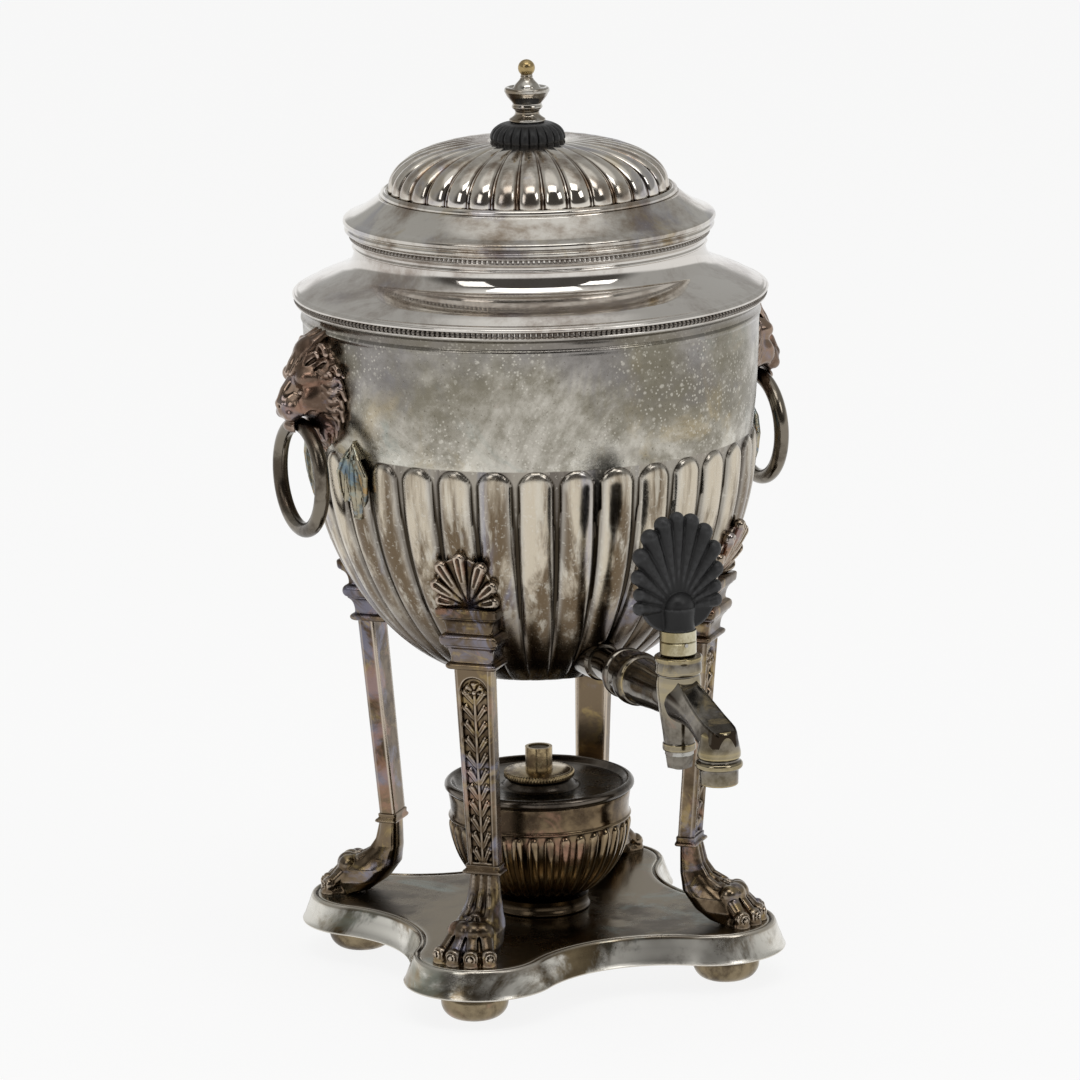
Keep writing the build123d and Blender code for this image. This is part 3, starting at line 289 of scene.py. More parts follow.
# One studio for every kind of ray: white to just over the horizon, a grey room above, and a pale ceiling
world = bpy.data.worlds.new("studio")
bpy.context.scene.world = world
world.use_nodes = True
world.node_tree.nodes.clear()
studio = Recipe(world.node_tree, "Generated")
facing = studio.add("VectorMath", operation="DOT_PRODUCT")
studio.feed(facing.inputs[0], studio.place)
facing.inputs[1].default_value = (-away.x, -away.y, 0.0)
height = studio.height()
in_front = studio.band(facing.outputs["Value"], 0.15, 0.55)
room = studio.mix(in_front, (0.46, 0.46, 0.45), (0.085, 0.08, 0.075))
room = studio.mix(studio.band(height, 0.80, 0.95), room, (0.90, 0.90, 0.89))
backdrop = studio.mix(studio.band(height, 0.13, 0.22), (1.0, 1.0, 1.0), room)
background = studio.add("Background")
studio.feed(background.inputs["Color"], backdrop)
studio.feed(studio.add("OutputWorld").inputs["Surface"], background.outputs[0])

floor_mesh = bpy.data.meshes.new("floor")
reach = 6.0
floor_corners = [(-reach, -reach, 0), (reach, -reach, 0), (reach, reach, 0), (-reach, reach, 0)]
floor_mesh.from_pydata(floor_corners, [], [(0, 1, 2, 3)])
floor = bpy.data.objects.new("floor", floor_mesh)
bpy.context.scene.collection.objects.link(floor)
floor_material = bpy.data.materials.new("floor_paper")
floor_material.use_nodes = True
paper = Recipe(floor_material.node_tree)
paper_shader = floor_material.node_tree.nodes["Principled BSDF"]
paper_shader.inputs["Base Color"].default_value = (0.93, 0.93, 0.93, 1.0)
paper_shader.inputs["Roughness"].default_value = 0.9
paper_shader.inputs["Specular IOR Level"].default_value = 0.1
lift = paper.add("Emission")
lift.inputs["Strength"].default_value = 1.0
seen = paper.add("LightPath")
straight = paper.math("MAXIMUM", seen.outputs["Is Camera Ray"], seen.outputs["Is Glossy Ray"])
straight = paper.math("MAXIMUM", straight, seen.outputs["Is Transmission Ray"])
blend = paper.add("MixShader")
paper.feed(blend.inputs[0], paper.times(straight, 0.87))
paper.feed(blend.inputs[1], paper_shader.outputs[0])
paper.feed(blend.inputs[2], lift.outputs[0])
paper.feed(floor_material.node_tree.nodes["Material Output"].inputs["Surface"], blend.outputs[0])
floor_mesh.materials.append(floor_material)


def soft_box(name, azimuth, elevation, distance, width, height, power):
    """A soft lamp on a sphere about the object, in metres, aimed at its middle."""
    middle = Vector((0, 0, 0.2))
    lamp = bpy.data.lights.new(name, "AREA")
    lamp.shape = "RECTANGLE"
    lamp.size, lamp.size_y, lamp.energy = width, height, power
    holder = bpy.data.objects.new(name, lamp)
    bpy.context.scene.collection.objects.link(holder)
    side, rise = radians(azimuth), radians(elevation)
    spot = Vector((sin(side) * cos(rise), -cos(side) * cos(rise), sin(rise))) * distance + middle
    holder.location = spot
    holder.rotation_euler = (middle - spot).to_track_quat("-Z", "Y").to_euler()


soft_box("left_window", -64, 34, 2.6, 0.8, 1.2, 6)
soft_box("right_window", 26, 40, 2.6, 0.8, 0.8, 7)
soft_box("top_window", -20, 68, 2.4, 1.6, 0.8, 10)


# Materials

def plain_material(name, metallic, roughness):
    """A material and its recipe and shader, ready to be painted."""
    material = bpy.data.materials.new(name)
    material.use_nodes = True
    shader = material.node_tree.nodes["Principled BSDF"]
    shader.inputs["Metallic"].default_value = metallic
    shader.inputs["Roughness"].default_value = roughness
    return material, Recipe(material.node_tree), shader


def bumpy(paint, shader, height, distance):
    """Fine relief from a height value, at a depth in millimetres."""
    bump = paint.add("Bump")
    bump.inputs["Strength"].default_value = 0.5
    bump.inputs["Distance"].default_value = distance * mm
    paint.feed(bump.inputs["Height"], height)
    paint.feed(shader.inputs["Normal"], bump.outputs[0])


def old_metal(name, clean, tarnish, tints, rough, patch, dirt=(0.03, 0.022, 0.015), worn=None,
              tarnish_share=(0.42, 0.62), speckle=0.35, depth=0.05, hollow_reach=0.25, skirt=False):
    """Plated metal gone patchy: a clean colour, a tarnish, drifting tints, and dirt in hollows.

    Each tint is a colour, the size of its noise, the noise it starts and ends at, and its strength.
    """
    material, paint, shader = plain_material(name, 1.0, rough[0])
    wide = paint.noise(patch, detail=7, rough=0.62, warp=0.4)
    fine = paint.noise(patch * 9, detail=6, rough=0.7)
    dust = paint.noise(patch * 60, detail=3, rough=0.6)
    aged = paint.band(paint.plus(wide, paint.times(fine, 0.22)), *[edge + 0.11 for edge in tarnish_share])
    colour = paint.mix(aged, clean, tarnish)
    for number, (tint, size, low, high, strength) in enumerate(tints):
        drift = paint.noise(size, detail=5, rough=0.65, warp=0.8 + number * 0.3)
        colour = paint.over(colour, tint, paint.band(drift, low, high), strength)
    speck = tuple(min(1.0, part * 1.25) for part in clean)
    colour = paint.over(colour, speck, paint.band(dust, 0.60, 0.72), speckle)
    if skirt:
        bright = paint.band(paint.noise(30, detail=6, rough=0.66, warp=0.5), 0.40, 0.56)
        below_lip = paint.band(paint.height(), (plate_top - 0.9) * mm, (plate_top - 1.8) * mm)
        colour = paint.over(colour, (0.74, 0.72, 0.66), paint.times(bright, below_lip), 0.95)
    hollow = paint.value("hollow")
    colour = paint.mix(paint.band(hollow, 0.02, hollow_reach), colour, dirt)
    if worn:
        colour = paint.mix(paint.band(hollow, -0.02, -hollow_reach, 0.0, 0.85), colour, worn)
    paint.feed(shader.inputs["Base Color"], colour)
    haze = paint.plus(paint.times(aged, 0.6), paint.times(fine, 0.5))
    grimy = paint.plus(haze, paint.band(hollow, 0.02, hollow_reach, 0.0, 0.5))
    paint.feed(shader.inputs["Roughness"], paint.band(grimy, 0.1, 1.1, *rough))
    bumpy(paint, shader, paint.plus(paint.times(fine, 0.6), paint.times(dust, 0.4)), depth)
    return material


silver = (0.56, 0.53, 0.47)
brown = (0.16, 0.12, 0.08)
gold = (0.46, 0.36, 0.19)
violet = (0.24, 0.25, 0.34)
copper = (0.36, 0.20, 0.14)
sea = (0.27, 0.33, 0.31)


def wall_colour(paint, clouds, grain):
    """The bowl's wall: clouded, with painted shade toward the rim, pale lower down, with flecks and pits."""
    wall = paint.mix(paint.band(clouds, 0.54, 0.76), silver, (0.22, 0.20, 0.155))
    for tint, size, low, high, strength in (
        (gold, 17, 0.52, 0.68, 0.55), (sea, 22, 0.56, 0.70, 0.4),
        (copper, 26, 0.64, 0.74, 0.4), (violet, 19, 0.60, 0.74, 0.35),
    ):
        drift = paint.noise(size, detail=6, rough=0.66, warp=0.9)
        wall = paint.over(wall, tint, paint.band(drift, low, high), strength)
    cloud = paint.noise(16, detail=7, rough=0.66, warp=0.7)
    ragged = paint.plus(paint.height(), paint.times(cloud, 0.11))
    # Painted shade: the upper wall under the rim is darkened, with a ragged lower edge.
    mottle = paint.band(paint.noise(21, detail=5), 0.42, 0.60)
    painted_rim_shade = paint.mix(mottle, (0.17, 0.155, 0.115), (0.20, 0.19, 0.20))
    wall = paint.over(wall, painted_rim_shade, paint.band(ragged, 0.318, 0.338), 0.60)
    pale = paint.times(paint.band(ragged, 0.318, 0.302), paint.band(cloud, 0.44, 0.62))
    wall = paint.over(wall, (0.72, 0.69, 0.61), pale, 0.8)
    blots = paint.times(paint.band(paint.noise(150, detail=3, rough=0.5), 0.56, 0.61), pale)
    wall = paint.over(wall, (0.80, 0.78, 0.71), blots, 0.6)
    cluster = paint.band(paint.noise(24, detail=5, rough=0.6, warp=0.3), 0.40, 0.56)
    large_dots = paint.times(paint.spots(270, 0.14, 0.30), 0.8)
    dots = paint.math("MAXIMUM", paint.spots(560, 0.16, 0.34), large_dots)
    flecks = paint.times(paint.times(dots, cluster), paint.band(grain, 0.36, 0.52))
    wall = paint.over(wall, (0.70, 0.67, 0.59), flecks, 0.62)
    pits = paint.band(paint.noise(900, detail=2, rough=0.5), 0.66, 0.74)
    return paint.over(wall, (0.10, 0.085, 0.06), pits, 0.6)


def lobe_colour(paint, grain):
    """The lobes: streaked down their length, grey on their flanks, and darkened toward the foot as painted
    shade.
    """
    down, rise = paint.drawn_out(0.10), paint.height()
    streak = paint.noise(75, detail=6, rough=0.62, warp=0.25, place=down)
    thin = paint.noise(210, detail=5, rough=0.6, place=down)
    # Tarnish streaks, with painted shade: lower on the lobes, more of each streak turns brown.
    streaks_and_low_shade = paint.plus(streak, paint.band(rise, 0.240, 0.170, 0.0, 0.12))
    lobes = paint.mix(paint.band(streaks_and_low_shade, 0.44, 0.62), (0.60, 0.53, 0.42), (0.150, 0.108, 0.066))
    lobes = paint.over(lobes, (0.68, 0.64, 0.55), paint.band(thin, 0.52, 0.66), 0.55)
    blue = paint.noise(48, detail=4, rough=0.6, warp=0.4, place=down)
    lobes = paint.over(lobes, violet, paint.band(blue, 0.55, 0.66), 0.6)
    lobes = paint.over(lobes, (0.17, 0.165, 0.16), paint.band(paint.value("lobe"), 0.80, 0.35), 0.6)
    lobes = paint.over(lobes, (0.74, 0.71, 0.63), paint.band(grain, 0.58, 0.66), 0.35)
    # Painted shade: the lobes turn dark brown toward their foot, with a ragged edge.
    painted_low_shade_height = paint.plus(rise, paint.times(streak, 0.05))
    return paint.mix(paint.band(painted_low_shade_height, 0.212, 0.172), lobes, (0.085, 0.062, 0.040))


def bowl_paint():
    """The bowl's silver: wall and lobes, painted shade under the rim, tarnish and painted shade in hollows."""
    material, paint, shader = plain_material("bowl_silver", 1.0, 0.2)
    wide = paint.noise(13, detail=8, rough=0.64, warp=0.5)
    fine = paint.noise(130, detail=6, rough=0.7)
    grain = paint.noise(620, detail=4, rough=0.62)
    clouds = paint.plus(wide, paint.times(fine, 0.28))
    colour = paint.mix(paint.value("wall"), lobe_colour(paint, grain), wall_colour(paint, clouds, grain))
    # Painted shade: the top of the wall, from the groove under the rim's flare up to the rim, is darkened.
    colour = paint.over(colour, (0.16, 0.14, 0.115), paint.band(paint.height(), 0.2905, 0.2935), 0.5)
    hollow = paint.value("hollow")
    # Dark in the hollows: tarnish, and painted shade such as the shadow line round the lobes' tops.
    colour = paint.mix(paint.band(hollow, 0.10, 0.34), colour, (0.04, 0.031, 0.021))
    colour = paint.mix(paint.band(hollow, -0.04, -0.22, 0.0, 0.35), colour, (0.74, 0.71, 0.65))
    paint.feed(shader.inputs["Base Color"], colour)
    haze = paint.plus(paint.times(clouds, 0.6), paint.times(grain, 0.4))
    paint.feed(shader.inputs["Roughness"], paint.band(haze, 0.35, 0.85, 0.13, 0.36))
    bumpy(paint, shader, paint.plus(paint.times(fine, 0.5), paint.times(grain, 0.5)), 0.06)
    return material


bowl_silver = bowl_paint()
neck_silver = old_metal(
    "neck_silver", (0.66, 0.63, 0.59), (0.34, 0.29, 0.25),
    [(violet, 20, 0.58, 0.75, 0.30), (copper, 26, 0.60, 0.75, 0.25)],
    rough=(0.05, 0.20), patch=20, tarnish_share=(0.46, 0.72), speckle=0.2, depth=0.02,
    dirt=(0.06, 0.048, 0.038),
)
lid_silver = old_metal(
    "lid_silver", (0.62, 0.59, 0.54), (0.25, 0.195, 0.145),
    [(violet, 28, 0.54, 0.7, 0.40), (gold, 33, 0.57, 0.72, 0.35)],
    rough=(0.06, 0.24), patch=22, tarnish_share=(0.44, 0.68), speckle=0.25, depth=0.02,
    dirt=(0.045, 0.03, 0.02),
)
dome_silver = old_metal(
    "dome_silver", (0.58, 0.54, 0.48), (0.185, 0.135, 0.095),
    [(violet, 34, 0.52, 0.66, 0.5), (gold, 41, 0.56, 0.70, 0.45)],
    rough=(0.06, 0.24), patch=30, tarnish_share=(0.40, 0.60), speckle=0.25, depth=0.02,
    dirt=(0.07, 0.042, 0.024),
    hollow_reach=0.16, worn=(0.74, 0.70, 0.63),
)
plate_silver = old_metal(
    "plate_silver", (0.24, 0.185, 0.110), (0.085, 0.060, 0.032),
    [(gold, 16, 0.56, 0.70, 0.4), (sea, 21, 0.54, 0.68, 0.55), (copper, 26, 0.62, 0.74, 0.3)],
    rough=(0.14, 0.38), patch=12, tarnish_share=(0.40, 0.60), speckle=0.4, worn=(0.66, 0.62, 0.55),
    skirt=True,
)
leg_bronze = old_metal(
    "leg_bronze", (0.165, 0.122, 0.078), (0.070, 0.048, 0.029),
    [
        (violet, 34, 0.52, 0.64, 0.55), (copper, 40, 0.53, 0.66, 0.5),
        ((0.34, 0.25, 0.11), 52, 0.54, 0.66, 0.6)
    ],
    rough=(0.14, 0.32), patch=30, worn=(0.58, 0.50, 0.41), speckle=0.2, hollow_reach=0.26,
)
mask_bronze = old_metal(
    "mask_bronze", (0.27, 0.195, 0.145), (0.125, 0.083, 0.06),
    [(violet, 40, 0.55, 0.68, 0.45), (copper, 34, 0.52, 0.66, 0.55)],
    rough=(0.16, 0.34), patch=36, worn=(0.52, 0.41, 0.34), speckle=0.1, hollow_reach=0.22,
)
foot_bronze = old_metal(
    "foot_bronze", (0.27, 0.215, 0.135), (0.085, 0.062, 0.04),
    [(gold, 30, 0.52, 0.66, 0.45), (copper, 44, 0.56, 0.7, 0.4)],
    rough=(0.18, 0.40), patch=30, speckle=0.3,
)
ring_bronze = old_metal(
    "ring_bronze", (0.20, 0.175, 0.14), (0.075, 0.06, 0.045), [(copper, 40, 0.62, 0.75, 0.3)],
    rough=(0.14, 0.30), patch=40,
)
tap_metal = old_metal(
    "tap_metal", (0.215, 0.195, 0.165), (0.065, 0.055, 0.042),
    [(gold, 40, 0.57, 0.70, 0.55), (violet, 50, 0.58, 0.72, 0.35), (copper, 62, 0.60, 0.72, 0.3)],
    rough=(0.08, 0.24), patch=38, worn=(0.66, 0.53, 0.26), hollow_reach=0.2,
)
ferrule_metal = old_metal(
    "ferrule_metal", (0.56, 0.52, 0.38), (0.28, 0.235, 0.13), [(gold, 50, 0.55, 0.68, 0.5)],
    rough=(0.12, 0.28), patch=50,
)
finial_bronze = old_metal(
    "finial_bronze", (0.50, 0.48, 0.44), (0.22, 0.18, 0.13), [(violet, 60, 0.55, 0.7, 0.3)],
    rough=(0.07, 0.2), patch=60,
)
lamp_metal = old_metal(
    "lamp_metal", (0.20, 0.145, 0.085), (0.058, 0.040, 0.026),
    [(copper, 30, 0.60, 0.70, 0.7), (sea, 45, 0.60, 0.74, 0.4)],
    rough=(0.13, 0.32), patch=26, worn=(0.48, 0.38, 0.25), hollow_reach=0.3,
)
lamp_top_metal = old_metal(
    "lamp_top_metal", (0.13, 0.11, 0.09), (0.05, 0.042, 0.034), [(brown, 30, 0.55, 0.7, 0.3)],
    rough=(0.18, 0.34), patch=30,
)
burner_brass = old_metal(
    "burner_brass", (0.44, 0.34, 0.19), (0.15, 0.105, 0.06), [(copper, 50, 0.58, 0.72, 0.4)],
    rough=(0.16, 0.38), patch=50,
)
ball_brass = old_metal(
    "ball_brass", (0.64, 0.50, 0.25), (0.36, 0.26, 0.12), [(gold, 60, 0.5, 0.7, 0.4)], rough=(0.12, 0.3),
    patch=80,
)
plain_steel = old_metal(
    "plain_steel", (0.46, 0.45, 0.42), (0.24, 0.21, 0.18), [(brown, 60, 0.58, 0.72, 0.4)], rough=(0.25, 0.45),
    patch=60,
)
leaf_tarnish = old_metal(
    "leaf_tarnish", (0.38, 0.34, 0.25), (0.17, 0.15, 0.10),
    [
        ((0.15, 0.24, 0.32), 60, 0.52, 0.62, 0.7), ((0.44, 0.28, 0.11), 75, 0.54, 0.64, 0.7),
        (sea, 90, 0.55, 0.64, 0.6)
    ],
    rough=(0.20, 0.38), patch=60, hollow_reach=0.3,
)

black_horn, paint, shader = plain_material("black_horn", 0.0, 0.42)
shader.inputs["Specular IOR Level"].default_value = 0.3
grain = paint.noise(120, detail=5, place=paint.drawn_out(0.25))
# Painted highlight: the ridges and edges of the black horn are lightened in colour.
painted_ridge_highlight = paint.band(paint.value("hollow"), 0.0, -0.25)
black = paint.mix(grain, (0.006, 0.006, 0.0065), (0.016, 0.0155, 0.0155))
paint.feed(shader.inputs["Base Color"], paint.over(black, (0.075, 0.075, 0.078), painted_ridge_highlight, 0.8))
paint.feed(shader.inputs["Roughness"], paint.band(grain, 0.3, 0.7, 0.36, 0.52))
bumpy(paint, shader, grain, 0.06)

wick_cotton, paint, shader = plain_material("wick_cotton", 0.0, 0.95)
strands = paint.noise(900, detail=3)
paint.feed(shader.inputs["Base Color"], paint.mix(strands, (0.10, 0.085, 0.07), (0.42, 0.38, 0.31)))
bumpy(paint, shader, strands, 0.3)


# Values that the paint reads from a mesh

def hollow_values(points, quads, rounds):
    """How far each point lies below its softened surroundings, in millimetres: over 0 in hollows."""
    def gathered(places, amounts):
        return np.stack([np.bincount(places, amounts[:, axis], len(points)) for axis in range(3)], axis=-1)

    pairs = np.concatenate([quads[:, [corner, (corner + 1) % 4]] for corner in range(4)])
    pairs = np.concatenate([pairs, pairs[:, ::-1]])
    count = np.bincount(pairs[:, 0], minlength=len(points)).clip(1)
    cross = np.cross(points[quads[:, 2]] - points[quads[:, 0]], points[quads[:, 3]] - points[quads[:, 1]])
    normal = sum(gathered(quads[:, corner], cross) for corner in range(4))
    normal /= np.linalg.norm(normal, axis=1, keepdims=True).clip(1e-12)
    soft = points.copy()
    for _ in range(rounds):
        mean = gathered(pairs[:, 0], soft[pairs[:, 1]])
        soft = 0.4 * soft + 0.6 * mean / count[:, None]
    return ((soft - points) * normal).sum(axis=1)


# Bowl

bowl_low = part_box("body_bowl")[0][2] / mm
bowl_radius = 97.0
bowl_depth = 113.0
lobe_count = 34
lobe_top = bowl_low + 103.0
lobe_swing = 7.3
lobe_turn = radians(lobe_swing - 90)
lobe_arch = 7.0
lobe_relief = 0.030
wall_thickness, floor_thickness = 1.6, 1.3
wall_line = [
    (94.9, 0.0), (95.6, 6.0), (96.4, 13.0), (97.2, 24.0), (97.8, 36.0), (98.2, 49.5), (98.75, 50.4),
    (99.0, 51.1),
    (98.75, 51.8), (98.1, 52.6), (98.2, 54.0), (99.0, 55.6), (100.6, 56.9), (100.6, 57.2),
]


def bowl_profile():
    """Heights up the bowl, with the radius over the lobes and between them at each."""
    lowest = np.arcsin((lobe_top - bowl_low) / bowl_depth)
    slopes = np.linspace(lowest, np.arcsin(lobe_arch / bowl_depth), 110)
    heights = lobe_top - bowl_depth * np.sin(slopes)
    heights = np.concatenate([heights[:-1], np.linspace(lobe_top - lobe_arch, lobe_top, 16)])
    crest = bowl_radius * np.sqrt(1 - ((lobe_top - heights) / bowl_depth) ** 2)
    valley = crest * (1 - lobe_relief)
    rise = ((heights - lobe_top + 25) / 25).clip(0, 1)
    valley += (wall_line[0][0] - valley[-1]) * rise ** 2
    return heights, crest, valley


def bowl_piece():
    """The bowl's wall: lobes outside, a plain surface inside, and the wall up to the rim."""
    heights, crest, valley = bowl_profile()
    per_lobe = 26
    columns = lobe_count * per_lobe
    angle = ring_angles(columns)
    off = lobe_offset(angle, lobe_count, lobe_turn)
    climb = ((heights - bowl_low) / (lobe_top - bowl_low)).clip(0, 1)
    width = 0.96 - 0.16 * climb ** 1.6
    over = ((heights - (lobe_top - lobe_arch)) / lobe_arch).clip(0, 1)
    reach = (off[None, :] / width[:, None]) ** 2 + over[:, None] ** 2
    lobe = np.sqrt((1 - reach).clip(0, 1))
    height_share = (heights - bowl_low) / 8
    swell = (crest - valley)[:, None] * lobe * height_share[:, None].clip(0.35, 1)
    outer = ring_points(valley[:, None] + swell, angle, heights[:, None])
    wall = softened([(r, lobe_top + z) for r, z in wall_line], 0.5, 3)
    steps = []
    for (r0, z0), (r1, z1) in zip(wall, wall[1:]):
        cuts = max(1, int(abs(z1 - z0) / (0.5 if z0 < lobe_top + 5 else 2.5)))
        steps += [(r0 + (r1 - r0) * cut / cuts, z0 + (z1 - z0) * cut / cuts) for cut in range(cuts)]
    steps = steps[1:] + [wall[-1]]
    floor_level = bowl_low + floor_thickness
    inside = [(r - wall_thickness, z) for r, z in [*steps[::-4], *zip(valley[::-6], heights[::-6])]]
    inside = [(r, max(z, floor_level)) for r, z in inside] + [(0.02, floor_level)]
    upper = turned_points(steps, columns)
    inner = turned_points(inside, columns)
    bottom = turned_points(
        [(0.02, bowl_low), (valley[0] * 0.6, bowl_low), (valley[0] * 0.93, bowl_low)], columns
    )
    points = np.concatenate([bottom, outer, upper, inner])
    faces = grid_faces(len(points) // columns, columns)
    lobes, above = np.zeros(len(points)), np.zeros(len(points))
    wall_start = len(bottom) + lobe.size
    lobes[len(bottom):wall_start] = lobe.ravel()
    above[wall_start:] = 1.0
    make_piece(
        "bowl_wall", points, faces, bowl_silver, "stand_and_bowl", replaces=("body_bowl",),
        slot="bowl_silver",
        values={"hollow": hollow_values(points, faces, 10), "lobe": lobes, "wall": above},
    )


bowl_piece()


# Rim, shoulder and mouth

def turned_with_beads(name, outline, ring, material, body, **more):
    """A turned piece that carries a ring of beads, given as (count, radius, level, size)."""
    segments = 240
    rows = softened(outline, 0.35, 3)
    body_part = (turned_points(rows, segments), grid_faces(len(rows), segments))
    points, faces = joined(body_part, beads(*ring))
    make_piece(
        name, points, faces, material, body, values={"hollow": hollow_values(points, faces, 6) * 0.35}, **more
    )


rim_low, rim_high = (corner[2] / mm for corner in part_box("rim_band"))
turned_with_beads(
    "rim_beading",
    [(97.9, rim_low), (100.9, rim_low), (101.3, rim_low + 0.5), (100.9, rim_low + 1.0),
     (100.2, rim_low + 1.2),
     (100.2, rim_low + 2.7), (101.2, rim_low + 2.9), (102.2, rim_low + 3.5), (102.35, rim_low + 4.3),
     (101.6, rim_high, 0.8), (97.9, rim_high), (97.9, rim_low)],
    (280, 100.85, rim_low + 1.95, 1.0), neck_silver, "stand_and_bowl", replaces=("rim_band",),
    slot="bowl_silver",
)

neck_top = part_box("shoulder")[1][2] / mm
shoulder_line = [
    (101.3, rim_high), (100.6, rim_high + 0.55, 0.5), (99.6, rim_high + 0.75), (94.4, rim_high + 3.7, 4),
    (85.8, rim_high + 7.2, 6), (79.0, rim_high + 10.2, 4), (76.3, rim_high + 13.4, 3),
    (75.3, rim_high + 17.5, 3),
    (75.2, neck_top), (74.2, neck_top), (74.2, rim_high + 17), (75.6, rim_high + 12.4, 3),
    (85.0, rim_high + 6, 5),
    (93.6, rim_high + 2.4, 4), (98.6, rim_high), (101.3, rim_high),
]
shoulder_rows = softened(shoulder_line, 0.4, 8)
turned(
    "shoulder_sweep", shoulder_rows, neck_silver, "stand_and_bowl", 240, replaces=("shoulder",),
    slot="neck_silver"
)

mouth_low, mouth_high = (corner[2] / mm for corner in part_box("mouth_band"))
turned_with_beads(
    "mouth_beading",
    [(75.25, mouth_low), (76.0, mouth_low + 0.1), (76.35, mouth_low + 0.7), (76.0, mouth_low + 1.3),
     (75.6, mouth_low + 1.6), (75.8, mouth_low + 3.0, 1), (76.9, mouth_low + 4.0), (76.5, mouth_low + 4.4),
     (76.3, mouth_low + 5.7), (77.2, mouth_low + 6.0), (77.4, mouth_high - 0.4), (76.9, mouth_high),
     (75.25, mouth_high), (75.25, mouth_low)],
    (220, 76.7, mouth_low + 5.05, 0.8), neck_silver, "stand_and_bowl", replaces=("mouth_band",),
    slot="neck_silver",
)


# Lid

cover_low, cover_high = (corner[2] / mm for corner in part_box("lid_cover"))
cover_line = softened([
    (72.8, cover_low), (78.3, cover_low), (79.3, cover_low + 0.7, 0.8), (79.4, cover_low + 1.9, 0.8),
    (78.6, cover_low + 2.7, 0.6), (78.5, cover_low + 3.1, 0.3), (79.6, cover_low + 3.5, 0.8),
    (80.0, cover_low + 4.6, 0.9), (79.7, cover_low + 5.9, 0.8), (78.3, cover_low + 6.5, 0.6),
    (76.0, cover_low + 7.2, 2), (72.4, cover_low + 9.2, 3), (67.5, cover_low + 12.4, 3),
    (64.6, cover_high - 0.5, 1),
    (64.4, cover_high), (59.0, cover_high), (59.0, cover_high - 1.2), (64.0, cover_high - 1.6),
    (72.0, cover_low + 7.6), (76.0, cover_low + 4.4), (73.0, cover_low + 2.0), (72.8, cover_low),
], 0.4, 6)
turned("lid_brim", cover_line, lid_silver, "lid", 240, replaces=("lid_cover",), slot="lid_silver")

collar_low, collar_high = (corner[2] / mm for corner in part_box("lid_collar"))
collar_line = softened([
    (61.0, collar_low), (63.6, collar_low, 0.3), (63.8, collar_low + 0.9, 0.7), (63.4, collar_low + 1.9, 0.7),
    (62.2, collar_high, 0.6), (61.2, collar_high - 0.5, 0.3), (61.0, collar_low),
], 0.3, 5)
turned("lid_collar_ring", collar_line, lid_silver, "lid", 240, replaces=("lid_collar",), slot="lid_silver")

dome_low, dome_high = (corner[2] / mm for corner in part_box("lid_dome"))
dome_radius = 60.3
dome_flat = 17.0
dome_turn = radians(lobe_swing - 95.3 - 90)


def dome_piece():
    """The lid's dome: lobes that widen outward and end round above the collar."""
    per_lobe, rows = 28, 84
    columns = lobe_count * per_lobe
    angle = ring_angles(columns)
    off = lobe_offset(angle, lobe_count, dome_turn)
    sweep = np.linspace(0, 1, rows)
    rise = np.sin(sweep * pi / 2) ** 0.92
    base = dome_flat + (dome_radius - 1.6 - dome_flat) * (1 - rise ** 2.5) ** 0.60
    heights = dome_low + (dome_high - dome_low) * rise
    end = ((0.10 - rise) / 0.10).clip(0, 1)
    reach = (off[None, :] / 0.86) ** 2 + (end[:, None] * 0.98) ** 2
    lobe = np.sqrt((1 - reach).clip(0, 1))
    fillet = 0.35 * np.exp(-((np.abs(off)[None, :] - 1.0) / 0.10) ** 2)
    fade = (1 - rise ** 5)[:, None]
    lift = (1.9 * lobe + fillet) * fade
    slope = np.gradient(heights), np.gradient(base)
    length = np.hypot(*slope)
    out, up = slope[0] / length, -slope[1] / length
    radius = base[:, None] + lift * out[:, None]
    level = heights[:, None] + lift * up[:, None] * 0.9
    shell = ring_points(radius, angle, np.minimum(level, dome_high))
    top = turned_points([
        (16, dome_high), (8, dome_high), (1.7, dome_high), (1.7, dome_high - 3.2), (10, dome_high - 3.4),
        (30, dome_high - 6.5), (48, dome_high - 13), (56, dome_low + 2), (56.4, dome_low),
        (base[0] - 0.2, dome_low),
    ], columns)
    points = np.concatenate([shell, top])
    faces = grid_faces(len(points) // columns, columns)
    make_piece(
        "lid_dome_lobes", points, faces, dome_silver, "lid", replaces=("lid_dome",), slot="lid_silver",
        values={"hollow": hollow_values(points, faces, 12)},
    )


dome_piece()

knob_low, knob_high = (corner[2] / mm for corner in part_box("lid_knob"))


def knob_piece():
    """The fluted black knob: petals that swell and roll under at the foot."""
    petals, per_petal, rows = 24, 16, 36
    columns = petals * per_petal
    angle = ring_angles(columns)
    off = (angle * petals / (2 * pi) + 0.5) % 1 * 2 - 1
    sweep = np.linspace(-0.16, 1, rows)
    rolled = 15.6 + 0.6 * np.cos(sweep / 0.16 * pi / 2)
    domed = 7.4 + 8.8 * np.sqrt((1 - sweep ** 2).clip(0, 1))
    base = np.where(sweep < 0, rolled, domed)[:, None]
    heights = knob_low + (knob_high - knob_low) * (sweep + 0.16) / 1.16
    petal = np.sqrt((1 - off ** 2).clip(0, 1))
    fade = np.minimum(1, (1.04 - sweep) * 3)[:, None]
    shell = ring_points(base - 0.085 * base * (1 - petal)[None, :] * fade, angle, heights[:, None])
    cap = turned_points([(5, knob_high), (1.7, knob_high), (1.7, knob_low), (12, knob_low)], columns)
    foot = turned_points([(12, knob_low)], columns)
    points = np.concatenate([foot, shell, cap])
    faces = grid_faces(len(points) // columns, columns)
    make_piece(
        "knob_petals", points, faces, black_horn, "lid", replaces=("lid_knob",), slot="black",
        values={"hollow": hollow_values(points, faces, 8)},
    )


knob_piece()

